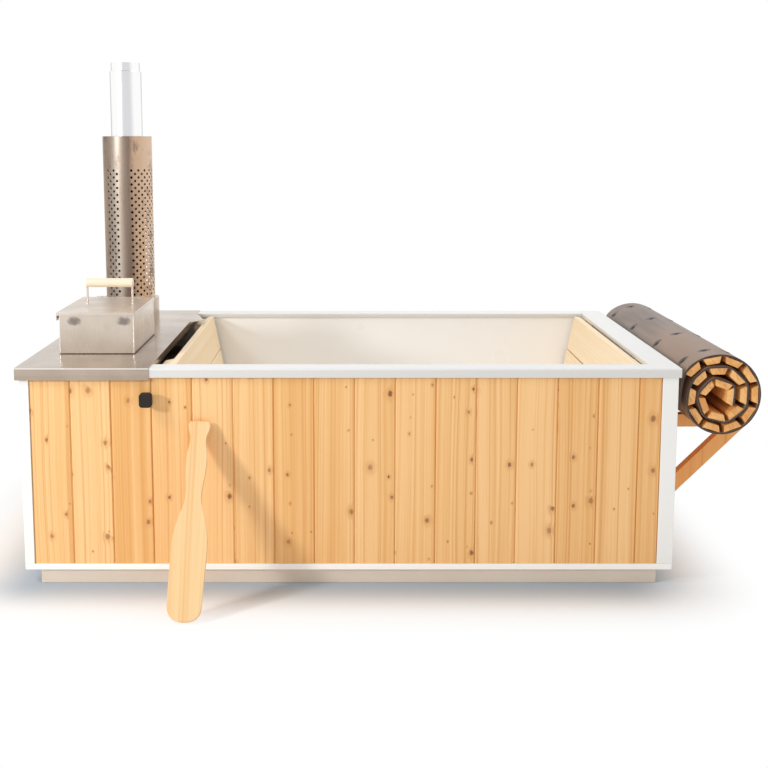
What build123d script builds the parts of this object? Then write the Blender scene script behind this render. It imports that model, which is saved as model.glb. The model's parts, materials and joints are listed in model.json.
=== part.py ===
from build123d import *
from math import asin, atan2, ceil, cos, hypot, pi, radians, sin, sqrt, tan
import os

os.makedirs("parts", exist_ok=True)

# Wood-burning hot tub. The origin is on the floor under the middle of the tub.
# X runs along the tub from the stove to the rolled cover, Y to the back, Z up. Sizes are in mm.

# Tub body, outside sizes over the rim
rim_length = 2200
rim_depth = 1500
rim_height = 740
rim_width = 90
rim_lip = 31
rim_inner_lip = 18
rim_sheet = 3
rim_overhang = 8

# Base
plinth_height = 50
plinth_thickness = 30
plinth_inset_side = 50
plinth_inset_front = 14
joist_width = 45
joist_count = 3
trim_height = 20
trim_width = 40
saw_gap = 0.4

# Corner posts and cladding
post_thickness = 18
post_face_left = 32
post_face_right = 52
post_face_side = 45
board_pitch = 135
board_thickness = 18
board_recess = 4
board_gap = 1
board_chamfer = 4
board_top_clearance = 12
tongue_length = 6
tongue_thickness = 6
tongue_clearance = 0.3

# Frame, insulation and liner
frame_depth = 45
liner_wall = 6
liner_corner = 20
floor_insulation = 50
foam_clearance = 1

# Stove cover plate
cover_right_edge = -660
cover_sheet = 2
cover_skirt = 41
cover_side_gap = 1
cover_fold = 25
gusset_width = 54
gusset_length = 280

# Firebox
firebox_left = -995
firebox_right = -680
firebox_front = -500
firebox_back = 650
firebox_bottom = 170
firebox_top = 600
firebox_wall = 5
neck_wall = 4
neck_stand = 15
neck_clearance = 3
foot_size = 40
grate_bar = 12
grate_bars = 9
grate_height = 45
grate_clearance = 1
baffle_thickness = 6
baffle_gap = 110

# Fuel hatch box and its lid
hatch_x = -883.5
hatch_y = -220
hatch_length = 260
hatch_depth = 472
hatch_height = 144
hatch_sheet = 2
neck_gap = 20
lid_sheet = 2
lid_seat = 0.4
lid_clearance = 2
lid_lip = 9
lid_left_flange = 26
lid_left_gap = 8
hinge_pin_radius = 3
hinge_knuckle_radius = 6.5
hinge_drop = 7
hinge_stand = 8
hinge_spacing = 150
hinge_knuckle = 24
hinge_running = 0.05
hinge_side_gap = 0.5
hinge_strap_reach = 38
hinge_leaf_drop = 13
grip_radius = 16.5
grip_round = 3
grip_length = 174
grip_height = 76
grip_back = 40
rod_radius = 4
rod_spacing = 166
rod_depth = 22
rod_clearance = 0.3

# Flue
flue_x = -928
flue_y = 550
flue_radius = 65
flue_wall = 1.5
flue_top = 1800
flue_joint = 1050
swage_radius = 59.5
swage_length = 33
socket_length = 40
spigot_height = 40
collar_radius = 118
collar_height = 85
guard_radius = 101.5
guard_wall = 1.5
guard_top = 1500
guard_columns = 18
guard_rows = 10
guard_row_pitch = 48
guard_hole = 13
guard_first_row = 45
standoff_width = 20
standoff_thickness = 3
standoff_count = 3

# Backrests
backrest_board = 145
backrest_thickness = 28
backrest_gap = 4
backrest_boards = 4
backrest_end_gap = 24
backrest_lean = 11.5
backrest_top = 730
backrest_left_x = -589
backrest_right_x = 975
cleat_width = 220
cleat_left = 33
cleat_right = 14
cleat_seat = 0.3
backrest_round = 4

# Strap knob on the front
knob_x = -668
knob_z = 639
knob_width = 42
knob_tall = 48
knob_thickness = 24
knob_stem_radius = 11
knob_proud = 48
knob_corner = 11
knob_round = 4

# Rolled cover
slat_count = 20
slat_pitch = 84
slat_width = 64
slat_inner_width = 46
slat_thickness = 23
roll_sheet_thickness = 4
roll_bend_share = 0.96
roll_start_radius = 158
roll_start_angle = 150
roll_turn_step = 37
roll_max_bend = 74
roll_trials = 8
roll_samples = 600
roll_radius_limit = 60
roll_length = 1408
roll_tail = 122
roll_x = 1241
roll_seat = 0.3
slat_seat = 0.1

# Brackets under the roll
bracket_y = 350
bracket_width = 45
arm_height = 45
arm_length = 308
arm_top = 508
upright_thickness = 20
strut_width = 48
strut_foot = 150
upright_bottom = 120

# Drain and its ball valve
drain_board = 5
drain_z = 172
drain_radius = 25
drain_bore = 21
drain_hole_clearance = 0.4
drain_flange_radius = 40
drain_flange_thickness = 5
valve_start = 14
valve_length = 72
valve_radius = 38
valve_ball_radius = 30
valve_ball_bore = 19
valve_cavity_clearance = 0.4
valve_stem_radius = 6
valve_running = 0.05
valve_seat_gap = 0.5
valve_end_step = 6
spigot_radius = 24
spigot_length = 30
lever_length = 115
lever_width = 22
lever_thickness = 4
lever_height = 54

# Paddle
paddle_length = 668
paddle_thickness = 20
paddle_foot_x = -514
paddle_top_x = -493
paddle_top_z = 553
paddle_blade = 111
paddle_corner = 43
paddle_corner_rise = 16
paddle_round_end = 52
paddle_blade_length = 290
paddle_neck = 55
paddle_neck_start = 388
paddle_grip = 61
paddle_grip_end = 565
paddle_waist = 53
paddle_flare = 72
paddle_flare_end = 12
paddle_top = 58
paddle_gap = 0.4

# Places worked out from the sizes above
half_x = rim_length / 2 - rim_overhang
half_y = rim_depth / 2 - rim_overhang
deck_top = plinth_height + trim_height
face_x = half_x - board_recess
face_y = half_y - board_recess
frame_x = face_x - board_thickness
frame_y = face_y - board_thickness
liner_x = frame_x - frame_depth
liner_y = frame_y - frame_depth
flange_top = rim_height - rim_sheet
frame_top = flange_top - liner_wall
liner_bottom = deck_top + floor_insulation
liner_floor = liner_bottom + liner_wall
board_top = rim_height - board_top_clearance
cover_top = rim_height + cover_sheet
backrest_length = 2 * (liner_y - liner_wall - backrest_end_gap)
hatch_top = cover_top + hatch_height
sides = ["front", "right", "back", "left"]


def mitred_side(side, outer_x, outer_y, width, joint=0):
    """Corners of one side of a rectangular frame, with its ends cut at 45 degrees."""
    long_x = outer_x - joint
    long_y = outer_y - joint
    inner_x = outer_x - width
    inner_y = outer_y - width
    corners = {
        "front": [(-long_x, -outer_y), (long_x, -outer_y)],
        "back": [(long_x, outer_y), (-long_x, outer_y)],
        "right": [(outer_x, -long_y), (outer_x, long_y)],
        "left": [(-outer_x, long_y), (-outer_x, -long_y)],
    }
    inner = {
        "front": [(inner_x - joint, -inner_y), (joint - inner_x, -inner_y)],
        "back": [(joint - inner_x, inner_y), (inner_x - joint, inner_y)],
        "right": [(inner_x, inner_y - joint), (inner_x, joint - inner_y)],
        "left": [(-inner_x, joint - inner_y), (-inner_x, inner_y - joint)],
    }
    return corners[side] + inner[side]


def save(part, name):
    part.label = name
    export_step(part, f"parts/{name}.step")


# Plinth: a recessed ring of four planks and the joists between them, standing on the floor
plinth_x = half_x - plinth_inset_side
plinth_y = half_y - plinth_inset_front
with BuildPart() as plinth:
    with BuildSketch():
        for side in sides:
            with BuildLine():
                Polyline(*mitred_side(side, plinth_x, plinth_y, plinth_thickness, saw_gap), close=True)
            make_face()
    extrude(amount=plinth_height)
save(plinth.part, "plinth")

joist_length = 2 * (plinth_y - plinth_thickness - saw_gap)
joist_spacing = 2 * plinth_x / (joist_count + 1)
with BuildPart() as joists:
    with BuildSketch():
        with GridLocations(joist_spacing, 0, joist_count, 1):
            Rectangle(joist_width, joist_length)
    extrude(amount=plinth_height)
save(joists.part, "plinth_joists")

# White edging round the bottom, and the plywood deck inside it
with BuildPart() as trim:
    with BuildSketch(Plane.XY.offset(plinth_height)):
        for side in sides:
            with BuildLine():
                Polyline(*mitred_side(side, half_x, half_y, trim_width, saw_gap), close=True)
            make_face()
    extrude(amount=trim_height)
save(trim.part, "bottom_trim")

with BuildPart() as deck:
    with BuildSketch(Plane.XY.offset(plinth_height)):
        Rectangle(2 * (half_x - trim_width - saw_gap), 2 * (half_y - trim_width - saw_gap))
    extrude(amount=trim_height)
save(deck.part, "base_deck")


# Corner posts: white angle profiles from the edging up to the underside of the rim
def corner_post(sign_x, sign_y, face):
    outline = [
        (0, 0),
        (face, 0),
        (face, post_thickness),
        (post_thickness, post_thickness),
        (post_thickness, post_face_side),
        (0, post_face_side),
    ]
    points = [(sign_x * (half_x - u), sign_y * (half_y - v)) for u, v in outline]
    with BuildPart() as post:
        with BuildSketch(Plane.XY.offset(deck_top)):
            with BuildLine():
                Polyline(*points, close=True)
            make_face()
        extrude(amount=flange_top - deck_top)
    return post.part


save(corner_post(-1, -1, post_face_left), "post_front_left")
save(corner_post(1, -1, post_face_right), "post_front_right")
save(corner_post(-1, 1, post_face_left), "post_back_left")
save(corner_post(1, 1, post_face_right), "post_back_right")


# Cladding: tongue and groove boards with a V joint, standing on the edging
def board_points(start, width, has_tongue):
    end = start + width
    low = board_thickness / 2 - tongue_thickness / 2
    high = board_thickness / 2 + tongue_thickness / 2
    slot = tongue_length + board_gap + tongue_clearance
    points = [(start, 0), (end, 0)]
    if has_tongue:
        points += [(end, low), (end + tongue_length, low), (end + tongue_length, high), (end, high)]
    points += [
        (end, board_thickness - board_chamfer),
        (end - board_chamfer, board_thickness),
        (start + board_chamfer, board_thickness),
        (start, board_thickness - board_chamfer),
        (start, high + tongue_clearance),
        (start + slot, high + tongue_clearance),
        (start + slot, low - tongue_clearance),
        (start, low - tongue_clearance),
    ]
    return points


def clad_wall(corner, along, run, numbers=None, drain=None):
    """Boards side by side from a corner along a wall, hung from their top ends. Numbers picks some of them."""
    wall = Plane(origin=(corner[0], corner[1], board_top), x_dir=along, z_dir=(0, 0, -1))
    count = ceil(run / board_pitch)
    with BuildPart() as cladding:
        with BuildSketch(wall):
            for i in numbers or range(count):
                start = i * board_pitch
                last = i == count - 1
                width = (run - start if last else board_pitch) - board_gap
                with BuildLine():
                    Polyline(*board_points(start + board_gap / 2, width, not last), close=True)
                make_face()
        extrude(amount=board_top - deck_top)
        if drain:
            with BuildSketch(drain):
                Circle(drain_radius + drain_hole_clearance)
            extrude(amount=rim_overhang + board_thickness * 2, both=True, mode=Mode.SUBTRACT)
    return cladding.part


front_run = 2 * half_x - post_face_left - post_face_right
side_run = 2 * (half_y - post_face_side)
side_start = half_y - post_face_side
side_boards = ceil(side_run / board_pitch)
drain_y = (drain_board + 0.5) * board_pitch - side_start
drain_plane = Plane(origin=(face_x, drain_y, drain_z), x_dir=(0, 1, 0), z_dir=(1, 0, 0))
save(clad_wall((post_face_left - half_x, -frame_y), (1, 0, 0), front_run), "cladding_front")
save(clad_wall((half_x - post_face_right, frame_y), (-1, 0, 0), front_run), "cladding_back")
whole_boards = [i for i in range(side_boards) if i != drain_board]
save(clad_wall((frame_x, -side_start), (0, 1, 0), side_run, whole_boards), "cladding_right")
save(clad_wall((frame_x, -side_start), (0, 1, 0), side_run, [drain_board], drain_plane), "drain_board")
save(clad_wall((-frame_x, side_start), (0, -1, 0), side_run), "cladding_left")

# Timber frame: rails round the top and the bottom, and a stud in each corner
with BuildPart() as rails:
    for level in (deck_top, frame_top - frame_depth):
        with BuildSketch(Plane.XY.offset(level)):
            for side in sides:
                with BuildLine():
                    Polyline(*mitred_side(side, frame_x, frame_y, frame_depth, saw_gap), close=True)
                make_face()
        extrude(amount=frame_depth)
save(rails.part, "frame_rails")

stud_height = frame_top - deck_top - 2 * frame_depth
stud_base = Plane.XY.offset(deck_top + frame_depth)
with BuildPart() as studs:
    with BuildSketch(stud_base):
        with GridLocations(2 * frame_x - frame_depth, 2 * frame_y - frame_depth, 2, 2):
            Rectangle(frame_depth, frame_depth)
    extrude(amount=stud_height)
save(studs.part, "corner_studs")

# Insulation: foam slabs between the studs and under the liner
foam_core = frame_depth - foam_clearance
with BuildPart() as foam_walls:
    with BuildSketch(stud_base):
        with GridLocations(0, 2 * frame_y - frame_depth, 1, 2):
            Rectangle(2 * (frame_x - frame_depth - foam_clearance), foam_core)
        with GridLocations(2 * frame_x - frame_depth, 0, 2, 1):
            Rectangle(foam_core, 2 * (frame_y - frame_depth - foam_clearance))
    extrude(amount=stud_height)
    with BuildSketch(drain_plane):
        Circle(drain_radius + drain_hole_clearance)
    extrude(amount=frame_depth * 2, both=True, mode=Mode.SUBTRACT)
save(foam_walls.part, "wall_insulation")

with BuildPart() as foam_floor:
    with BuildSketch(Plane.XY.offset(deck_top)):
        Rectangle(2 * (liner_x - foam_clearance), 2 * (liner_y - foam_clearance))
    extrude(amount=floor_insulation)
save(foam_floor.part, "floor_insulation")

# Liner: one moulded tub whose flange lies on the top rails
with BuildPart() as liner:
    with BuildSketch(Plane.XY.offset(liner_bottom)):
        RectangleRounded(2 * liner_x, 2 * liner_y, liner_corner)
    extrude(amount=flange_top - liner_bottom)
    with BuildSketch(Plane.XY.offset(frame_top)):
        Rectangle(2 * frame_x, 2 * frame_y)
    extrude(amount=liner_wall)
    with BuildSketch(Plane.XY.offset(liner_floor)):
        RectangleRounded(2 * (liner_x - liner_wall), 2 * (liner_y - liner_wall), liner_corner - liner_wall)
    extrude(amount=flange_top - liner_floor, mode=Mode.SUBTRACT)
    with BuildSketch(drain_plane):
        Circle(drain_radius + drain_hole_clearance)
    extrude(amount=-2 * frame_depth, mode=Mode.SUBTRACT)
save(liner.part, "liner")

# Rim: four folded white profiles, mitred at the corners, over the liner's flange
for side in sides:
    with BuildPart() as rim:
        with BuildSketch(Plane.XY.offset(flange_top)):
            with BuildLine():
                Polyline(*mitred_side(side, rim_length / 2, rim_depth / 2, rim_width), close=True)
            make_face()
        extrude(amount=rim_sheet)
        with BuildSketch(Plane.XY.offset(flange_top)):
            with BuildLine():
                Polyline(*mitred_side(side, rim_length / 2, rim_depth / 2, rim_sheet), close=True)
            make_face()
        extrude(amount=rim_sheet - rim_lip)
        inner_lip_x = rim_length / 2 - rim_width + rim_sheet
        inner_lip_y = rim_depth / 2 - rim_width + rim_sheet
        with BuildSketch(Plane.XY.offset(flange_top)):
            with BuildLine():
                Polyline(*mitred_side(side, inner_lip_x, inner_lip_y, rim_sheet), close=True)
            make_face()
        extrude(amount=rim_sheet - rim_inner_lip)
    save(rim.part, f"rim_{side}")

# Stove cover plate: stainless sheet over the stove end, folded down on three outer sides
cover_x = -rim_length / 2 - cover_side_gap - cover_sheet
cover_y = rim_depth / 2 + cover_side_gap + cover_sheet
neck_length = hatch_length - 2 * hatch_sheet - 2 * neck_gap
neck_depth = hatch_depth - 2 * hatch_sheet - 2 * neck_gap
with BuildPart() as cover_plate:
    with BuildSketch(Plane.XY.offset(rim_height)):
        with BuildLine():
            Polyline(
                (cover_x, -cover_y),
                (cover_right_edge, -cover_y),
                (cover_right_edge, cover_y),
                (cover_x, cover_y),
                close=True,
            )
        make_face()
        with Locations((hatch_x, hatch_y)):
            Rectangle(neck_length + 2 * neck_clearance, neck_depth + 2 * neck_clearance, mode=Mode.SUBTRACT)
        with Locations((flue_x, flue_y)):
            Circle(flue_radius + neck_clearance, mode=Mode.SUBTRACT)
    extrude(amount=cover_sheet)
    with BuildSketch(Plane.XY.offset(rim_height)):
        with BuildLine():
            Polyline(
                (cover_right_edge, -cover_y),
                (cover_x, -cover_y),
                (cover_x, cover_y),
                (cover_right_edge, cover_y),
                (cover_right_edge, cover_y - cover_sheet),
                (cover_x + cover_sheet, cover_y - cover_sheet),
                (cover_x + cover_sheet, cover_sheet - cover_y),
                (cover_right_edge, cover_sheet - cover_y),
                close=True,
            )
        make_face()
    extrude(amount=cover_sheet - cover_skirt)
    fold_y = rim_depth / 2 - rim_width - 2 * rim_sheet
    with BuildSketch(Plane.XY.offset(rim_height)):
        with Locations((cover_right_edge - cover_sheet / 2, 0)):
            Rectangle(cover_sheet, 2 * fold_y)
    extrude(amount=-cover_fold)
save(cover_plate.part, "stove_cover_plate")

# Corner gusset: a small triangular plate between the cover plate's edge and the backrest
with BuildPart() as gusset:
    with BuildSketch(Plane.XY.offset(rim_height)):
        with BuildLine():
            Polyline(
                (cover_right_edge, fold_y),
                (cover_right_edge, fold_y - gusset_length),
                (cover_right_edge + gusset_width, fold_y - gusset_length + gusset_width),
                close=True,
            )
        make_face()
    extrude(amount=cover_sheet)
save(gusset.part, "cover_gusset")

# Firebox: a welded box with a neck up through the cover plate and a spigot for the flue
firebox_x = (firebox_left + firebox_right) / 2
firebox_y = (firebox_front + firebox_back) / 2
firebox_length = firebox_right - firebox_left
firebox_depth = firebox_back - firebox_front
spigot_outer = flue_radius - flue_wall - rod_clearance
with BuildPart() as firebox:
    with BuildSketch(Plane.XY.offset(firebox_bottom)):
        with Locations((firebox_x, firebox_y)):
            Rectangle(firebox_length, firebox_depth)
    extrude(amount=firebox_top - firebox_bottom)
    with BuildSketch(Plane.XY.offset(firebox_top)):
        with Locations((hatch_x, hatch_y)):
            Rectangle(neck_length, neck_depth)
    extrude(amount=cover_top + neck_stand - firebox_top)
    with BuildSketch(Plane.XY.offset(firebox_top)):
        with Locations((flue_x, flue_y)):
            Circle(spigot_outer)
    extrude(amount=spigot_height)
    with BuildSketch(Plane.XY.offset(firebox_bottom + firebox_wall)):
        with Locations((firebox_x, firebox_y)):
            Rectangle(firebox_length - 2 * firebox_wall, firebox_depth - 2 * firebox_wall)
    extrude(amount=firebox_top - firebox_bottom - 2 * firebox_wall, mode=Mode.SUBTRACT)
    with BuildSketch(Plane.XY.offset(firebox_top - firebox_wall)):
        with Locations((hatch_x, hatch_y)):
            Rectangle(neck_length - 2 * neck_wall, neck_depth - 2 * neck_wall)
        with Locations((flue_x, flue_y)):
            Circle(spigot_outer - neck_wall)
    extrude(amount=cover_top + neck_stand, mode=Mode.SUBTRACT)
save(firebox.part, "firebox")

with BuildPart() as firebox_feet:
    with BuildSketch(Plane.XY.offset(liner_floor)):
        with Locations((firebox_x, firebox_y)):
            with GridLocations(firebox_length - 2 * foot_size, firebox_depth - 2 * foot_size, 2, 2):
                Rectangle(foot_size, foot_size)
    extrude(amount=firebox_bottom - liner_floor)
save(firebox_feet.part, "firebox_feet")

grate_depth = neck_depth
grate_length = firebox_length - 2 * firebox_wall - 2 * grate_clearance
grate_z = firebox_bottom + firebox_wall + grate_height
with BuildPart() as grate:
    with BuildSketch(Plane.XY.offset(grate_z)):
        with Locations((firebox_x, hatch_y)):
            with GridLocations((grate_length - grate_bar) / (grate_bars - 1), 0, grate_bars, 1):
                Rectangle(grate_bar, grate_depth)
            with GridLocations(0, grate_depth - grate_bar, 1, 2):
                Rectangle(grate_length, grate_bar)
    extrude(amount=grate_bar)
    with BuildSketch(Plane.XY.offset(grate_z)):
        with Locations((firebox_x, hatch_y)):
            with GridLocations(grate_length - grate_bar, grate_depth - grate_bar, 2, 2):
                Rectangle(grate_bar, grate_bar)
    extrude(amount=-grate_height)
save(grate.part, "fire_grate")

baffle_y = hatch_y + hatch_depth / 2 + 2 * foot_size
with BuildPart() as baffle:
    with BuildSketch(Plane.XY.offset(firebox_top - firebox_wall)):
        with Locations((firebox_x, baffle_y)):
            Rectangle(firebox_length - 2 * firebox_wall, baffle_thickness)
    extrude(amount=-(firebox_top - firebox_bottom - 2 * firebox_wall - baffle_gap))
save(baffle.part, "smoke_baffle")

# Fuel hatch box: four folded sheets standing on the cover plate round the neck
with BuildPart() as hatch_box:
    with BuildSketch(Plane.XY.offset(cover_top)):
        with Locations((hatch_x, hatch_y)):
            Rectangle(hatch_length, hatch_depth)
            Rectangle(hatch_length - 2 * hatch_sheet, hatch_depth - 2 * hatch_sheet, mode=Mode.SUBTRACT)
    extrude(amount=hatch_height)
save(hatch_box.part, "hatch_box")

# Hatch lid: a shallow folded tray, deeper on its left side, hinged along its back edge
box_left = hatch_x - hatch_length / 2
box_right = hatch_x + hatch_length / 2
box_front = hatch_y - hatch_depth / 2
box_back = hatch_y + hatch_depth / 2
lid_bottom = hatch_top + lid_seat
lid_left = box_left - lid_left_gap - lid_sheet
lid_right = box_right + lid_clearance + lid_sheet
lid_front = box_front - lid_clearance - lid_sheet
hinge_y = box_back + hinge_stand
hinge_z = hatch_top - hinge_drop
with BuildPart() as lid:
    with BuildSketch(Plane.XY.offset(lid_bottom)):
        with BuildLine():
            Polyline(
                (lid_left, lid_front),
                (lid_right, lid_front),
                (lid_right, box_back),
                (lid_left, box_back),
                close=True,
            )
        make_face()
    extrude(amount=lid_sheet)
    with BuildSketch(Plane.XY.offset(lid_bottom)):
        with Locations(((lid_left + lid_right) / 2, lid_front + lid_sheet / 2)):
            Rectangle(lid_right - lid_left, lid_sheet)
        with Locations((lid_right - lid_sheet / 2, (lid_front + box_back) / 2)):
            Rectangle(lid_sheet, box_back - lid_front)
    extrude(amount=-lid_lip)
    with BuildSketch(Plane.XY.offset(lid_bottom)):
        with Locations((lid_left + lid_sheet / 2, (lid_front + box_back) / 2)):
            Rectangle(lid_sheet, box_back - lid_front)
    extrude(amount=-lid_left_flange)
save(lid.part, "hatch_lid")


# Lid hinges: a leaf on the box with two outer knuckles, and a strap on the lid between them
def hinge_section(centre_x, width):
    """The plane in which one hinge knuckle is drawn, seen along the pin."""
    return Plane(origin=(centre_x - width / 2, hinge_y, hinge_z), x_dir=(0, 1, 0), z_dir=(1, 0, 0))


hinge_places = [hatch_x - hinge_spacing / 2, hatch_x + hinge_spacing / 2]
strap_top = lid_bottom - hinge_z + 2 * lid_sheet
strap_end = -hinge_stand - hinge_strap_reach
with BuildPart() as straps:
    for place in hinge_places:
        with BuildSketch(hinge_section(place, hinge_knuckle)):
            Circle(hinge_knuckle_radius)
            with BuildLine():
                Polyline(
                    (-hinge_knuckle_radius, 0),
                    (hinge_knuckle_radius, 0),
                    (hinge_knuckle_radius, strap_top),
                    (strap_end, strap_top),
                    (strap_end, strap_top - lid_sheet),
                    (-hinge_knuckle_radius, strap_top - lid_sheet),
                    close=True,
                )
            make_face()
            Circle(hinge_pin_radius + hinge_running, mode=Mode.SUBTRACT)
        extrude(amount=hinge_knuckle)
save(straps.part, "lid_hinge_straps")

leaf_knuckle = hinge_knuckle / 2
leaf_shift = (hinge_knuckle + leaf_knuckle) / 2 + hinge_side_gap
with BuildPart() as leaves:
    for place in hinge_places:
        for shift in (-leaf_shift, leaf_shift):
            with BuildSketch(hinge_section(place + shift, leaf_knuckle)):
                Circle(hinge_knuckle_radius)
                with BuildLine():
                    Polyline(
                        (0, -hinge_knuckle_radius),
                        (0, hinge_knuckle_radius),
                        (-hinge_stand, hinge_knuckle_radius),
                        (-hinge_stand, -hinge_leaf_drop),
                        (-hinge_stand + lid_sheet, -hinge_leaf_drop),
                        (-hinge_stand + lid_sheet, -hinge_knuckle_radius),
                        close=True,
                    )
                make_face()
                Circle(hinge_pin_radius, mode=Mode.SUBTRACT)
            extrude(amount=leaf_knuckle)
save(leaves.part, "lid_hinge_leaves")

pin_length = hinge_knuckle + 2 * leaf_knuckle + 2 * hinge_side_gap
with BuildPart() as pins:
    for place in hinge_places:
        with BuildSketch(hinge_section(place, pin_length)):
            Circle(hinge_pin_radius)
        extrude(amount=pin_length)
save(pins.part, "lid_hinge_pins")

# Lid handle: two upright steel rods carry a turned wooden grip, in holes bored from below
lid_top = lid_bottom + lid_sheet
grip_z = lid_top + grip_height
grip_y = hatch_y + grip_back
rod_top = grip_z - grip_radius + rod_depth
with BuildPart() as rods:
    with BuildSketch(Plane(origin=(hatch_x, grip_y, lid_top))):
        with GridLocations(rod_spacing, 0, 2, 1):
            Circle(rod_radius)
    extrude(amount=rod_top - lid_top)
save(rods.part, "lid_handle_rods")

grip_end = Plane(origin=(hatch_x - grip_length / 2, grip_y, grip_z), x_dir=(0, 1, 0), z_dir=(1, 0, 0))
with BuildPart() as grip:
    with BuildSketch(grip_end):
        Circle(grip_radius)
    extrude(amount=grip_length)
    fillet(grip.edges(), radius=grip_round)
    with BuildSketch(Plane(origin=(hatch_x, grip_y, rod_top + rod_clearance))):
        with GridLocations(rod_spacing, 0, 2, 1):
            Circle(rod_radius + rod_clearance)
    extrude(amount=-2 * rod_depth, mode=Mode.SUBTRACT)
save(grip.part, "lid_handle_grip")


# Flue: sheet tubes turned about one upright axis
def flue_turning(name, outline):
    """A ring of sheet metal, turned from its section: radius and height pairs."""
    with BuildPart() as ring:
        with BuildSketch(Plane(origin=(flue_x, flue_y, 0), x_dir=(1, 0, 0), z_dir=(0, -1, 0))):
            with BuildLine():
                Polyline(*outline, close=True)
            make_face()
        revolve(axis=Axis((flue_x, flue_y, 0), (0, 0, 1)))
    save(ring.part, name)


flue_inner = flue_radius - flue_wall
collar_top = cover_top + collar_height
flue_turning(
    "flue_collar",
    [
        (collar_radius - cover_sheet, cover_top),
        (collar_radius, cover_top),
        (collar_radius, collar_top),
        (flue_radius + rod_clearance, collar_top),
        (flue_radius + rod_clearance, collar_top - cover_sheet),
        (collar_radius - cover_sheet, collar_top - cover_sheet),
    ],
)
flue_turning(
    "flue_pipe_lower",
    [
        (flue_inner, firebox_top),
        (flue_radius, firebox_top),
        (flue_radius, flue_joint),
        (flue_inner, flue_joint),
    ],
)
socket_radius = flue_inner - rod_clearance
flue_turning(
    "flue_pipe_upper",
    [
        (socket_radius - flue_wall, flue_joint - socket_length),
        (socket_radius, flue_joint - socket_length),
        (socket_radius, flue_joint),
        (flue_radius, flue_joint),
        (flue_radius, flue_top - swage_length - 2 * flue_wall),
        (swage_radius, flue_top - swage_length),
        (swage_radius, flue_top),
        (swage_radius - flue_wall, flue_top),
        (swage_radius - flue_wall, flue_top - swage_length),
        (flue_inner, flue_top - swage_length - 2 * flue_wall),
        (flue_inner, flue_joint + flue_wall),
        (socket_radius - flue_wall, flue_joint + flue_wall),
    ],
)

# Flue guard: rolled perforated sheet round the pipe, plain at its top and along its seam
guard_bottom = collar_top + rod_clearance
with BuildPart() as guard:
    with BuildSketch(Plane(origin=(flue_x, flue_y, guard_bottom))):
        Circle(guard_radius)
        Circle(guard_radius - guard_wall, mode=Mode.SUBTRACT)
    extrude(amount=guard_top - guard_bottom)
    for column in range(1, guard_columns):
        turn = radians(-90 + column * 360 / guard_columns)
        first = guard_bottom + guard_first_row + (column % 2) * guard_row_pitch / 2
        outward = (cos(turn), sin(turn), 0)
        with BuildSketch(Plane(origin=(flue_x, flue_y, first), x_dir=(0, 0, 1), z_dir=outward)):
            with Locations(*[(row * guard_row_pitch, 0) for row in range(guard_rows)]):
                RegularPolygon(radius=guard_hole, side_count=6)
        extrude(amount=guard_radius + guard_wall, mode=Mode.SUBTRACT)
save(guard.part, "flue_guard")

standoff_reach = guard_radius - guard_wall - flue_radius
with BuildPart() as standoffs:
    for level in (guard_bottom + standoff_width, guard_top - 3 * standoff_width):
        with BuildSketch(Plane(origin=(flue_x, flue_y, level))):
            with PolarLocations(flue_radius + standoff_reach / 2, standoff_count, 30):
                Rectangle(standoff_reach - 2 * rod_clearance, standoff_thickness)
        extrude(amount=standoff_width)
save(standoffs.part, "guard_standoffs")


# Backrests: four boards on two cleats, leaning back from the bath
def backrest_point(x_top, facing, down, back):
    """A point in the XZ plane: so far down the board's front face, and so far behind it."""
    lean = radians(backrest_lean)
    x = x_top + facing * (down * sin(lean) - back * cos(lean))
    z = backrest_top - down * cos(lean) - back * sin(lean)
    return (x, z)


def backrest(x_top, facing, cleat_thickness, name):
    lean = radians(backrest_lean)
    boards_plane = Plane(
        origin=(x_top, -facing * backrest_length / 2, backrest_top),
        x_dir=(facing * sin(lean), 0, -cos(lean)),
        z_dir=(0, facing, 0),
    )
    pitch = backrest_board + backrest_gap
    middles = [(i * pitch + backrest_board / 2, backrest_thickness / 2) for i in range(backrest_boards)]
    with BuildPart() as boards:
        with BuildSketch(boards_plane):
            with Locations(*middles):
                RectangleRounded(backrest_board, backrest_thickness, backrest_round)
        extrude(amount=backrest_length)
    save(boards.part, f"backrest_{name}_boards")
    foot_z = liner_floor + cleat_seat
    back = backrest_thickness + cleat_thickness
    foot_down = (backrest_top - foot_z - backrest_thickness * sin(lean)) / cos(lean)
    foot_back = (backrest_top - foot_z - back * sin(lean)) / cos(lean)
    outline = [
        backrest_point(x_top, facing, backrest_round, backrest_thickness),
        backrest_point(x_top, facing, backrest_round, back),
        backrest_point(x_top, facing, foot_back, back),
        backrest_point(x_top, facing, foot_down, backrest_thickness),
    ]
    with BuildPart() as cleats:
        for start in (-backrest_length / 2, backrest_length / 2 - cleat_width):
            with BuildSketch(Plane(origin=(0, start, 0), x_dir=(1, 0, 0), z_dir=(0, -1, 0))):
                with BuildLine():
                    Polyline(*outline, close=True)
                make_face()
            extrude(amount=-cleat_width)
    save(cleats.part, f"backrest_{name}_cleats")


backrest(backrest_left_x, 1, cleat_left, "left")
backrest(backrest_right_x, -1, cleat_right, "right")

# Strap knob: a rounded square head on a round stem, where the unrolled cover is hooked down
with BuildPart() as knob:
    with BuildSketch(Plane(origin=(knob_x, -face_y, knob_z), x_dir=(1, 0, 0), z_dir=(0, -1, 0))):
        Circle(knob_stem_radius)
    extrude(amount=knob_proud - knob_thickness)
    head_plane = Plane(
        origin=(knob_x, -face_y - knob_proud + knob_thickness, knob_z), x_dir=(1, 0, 0), z_dir=(0, -1, 0)
    )
    with BuildSketch(head_plane):
        RectangleRounded(knob_width, knob_tall, knob_corner)
    extrude(amount=knob_thickness)
    fillet(knob.faces().sort_by(Axis.Y)[0].edges(), radius=knob_round)
save(knob.part, "strap_knob")

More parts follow.
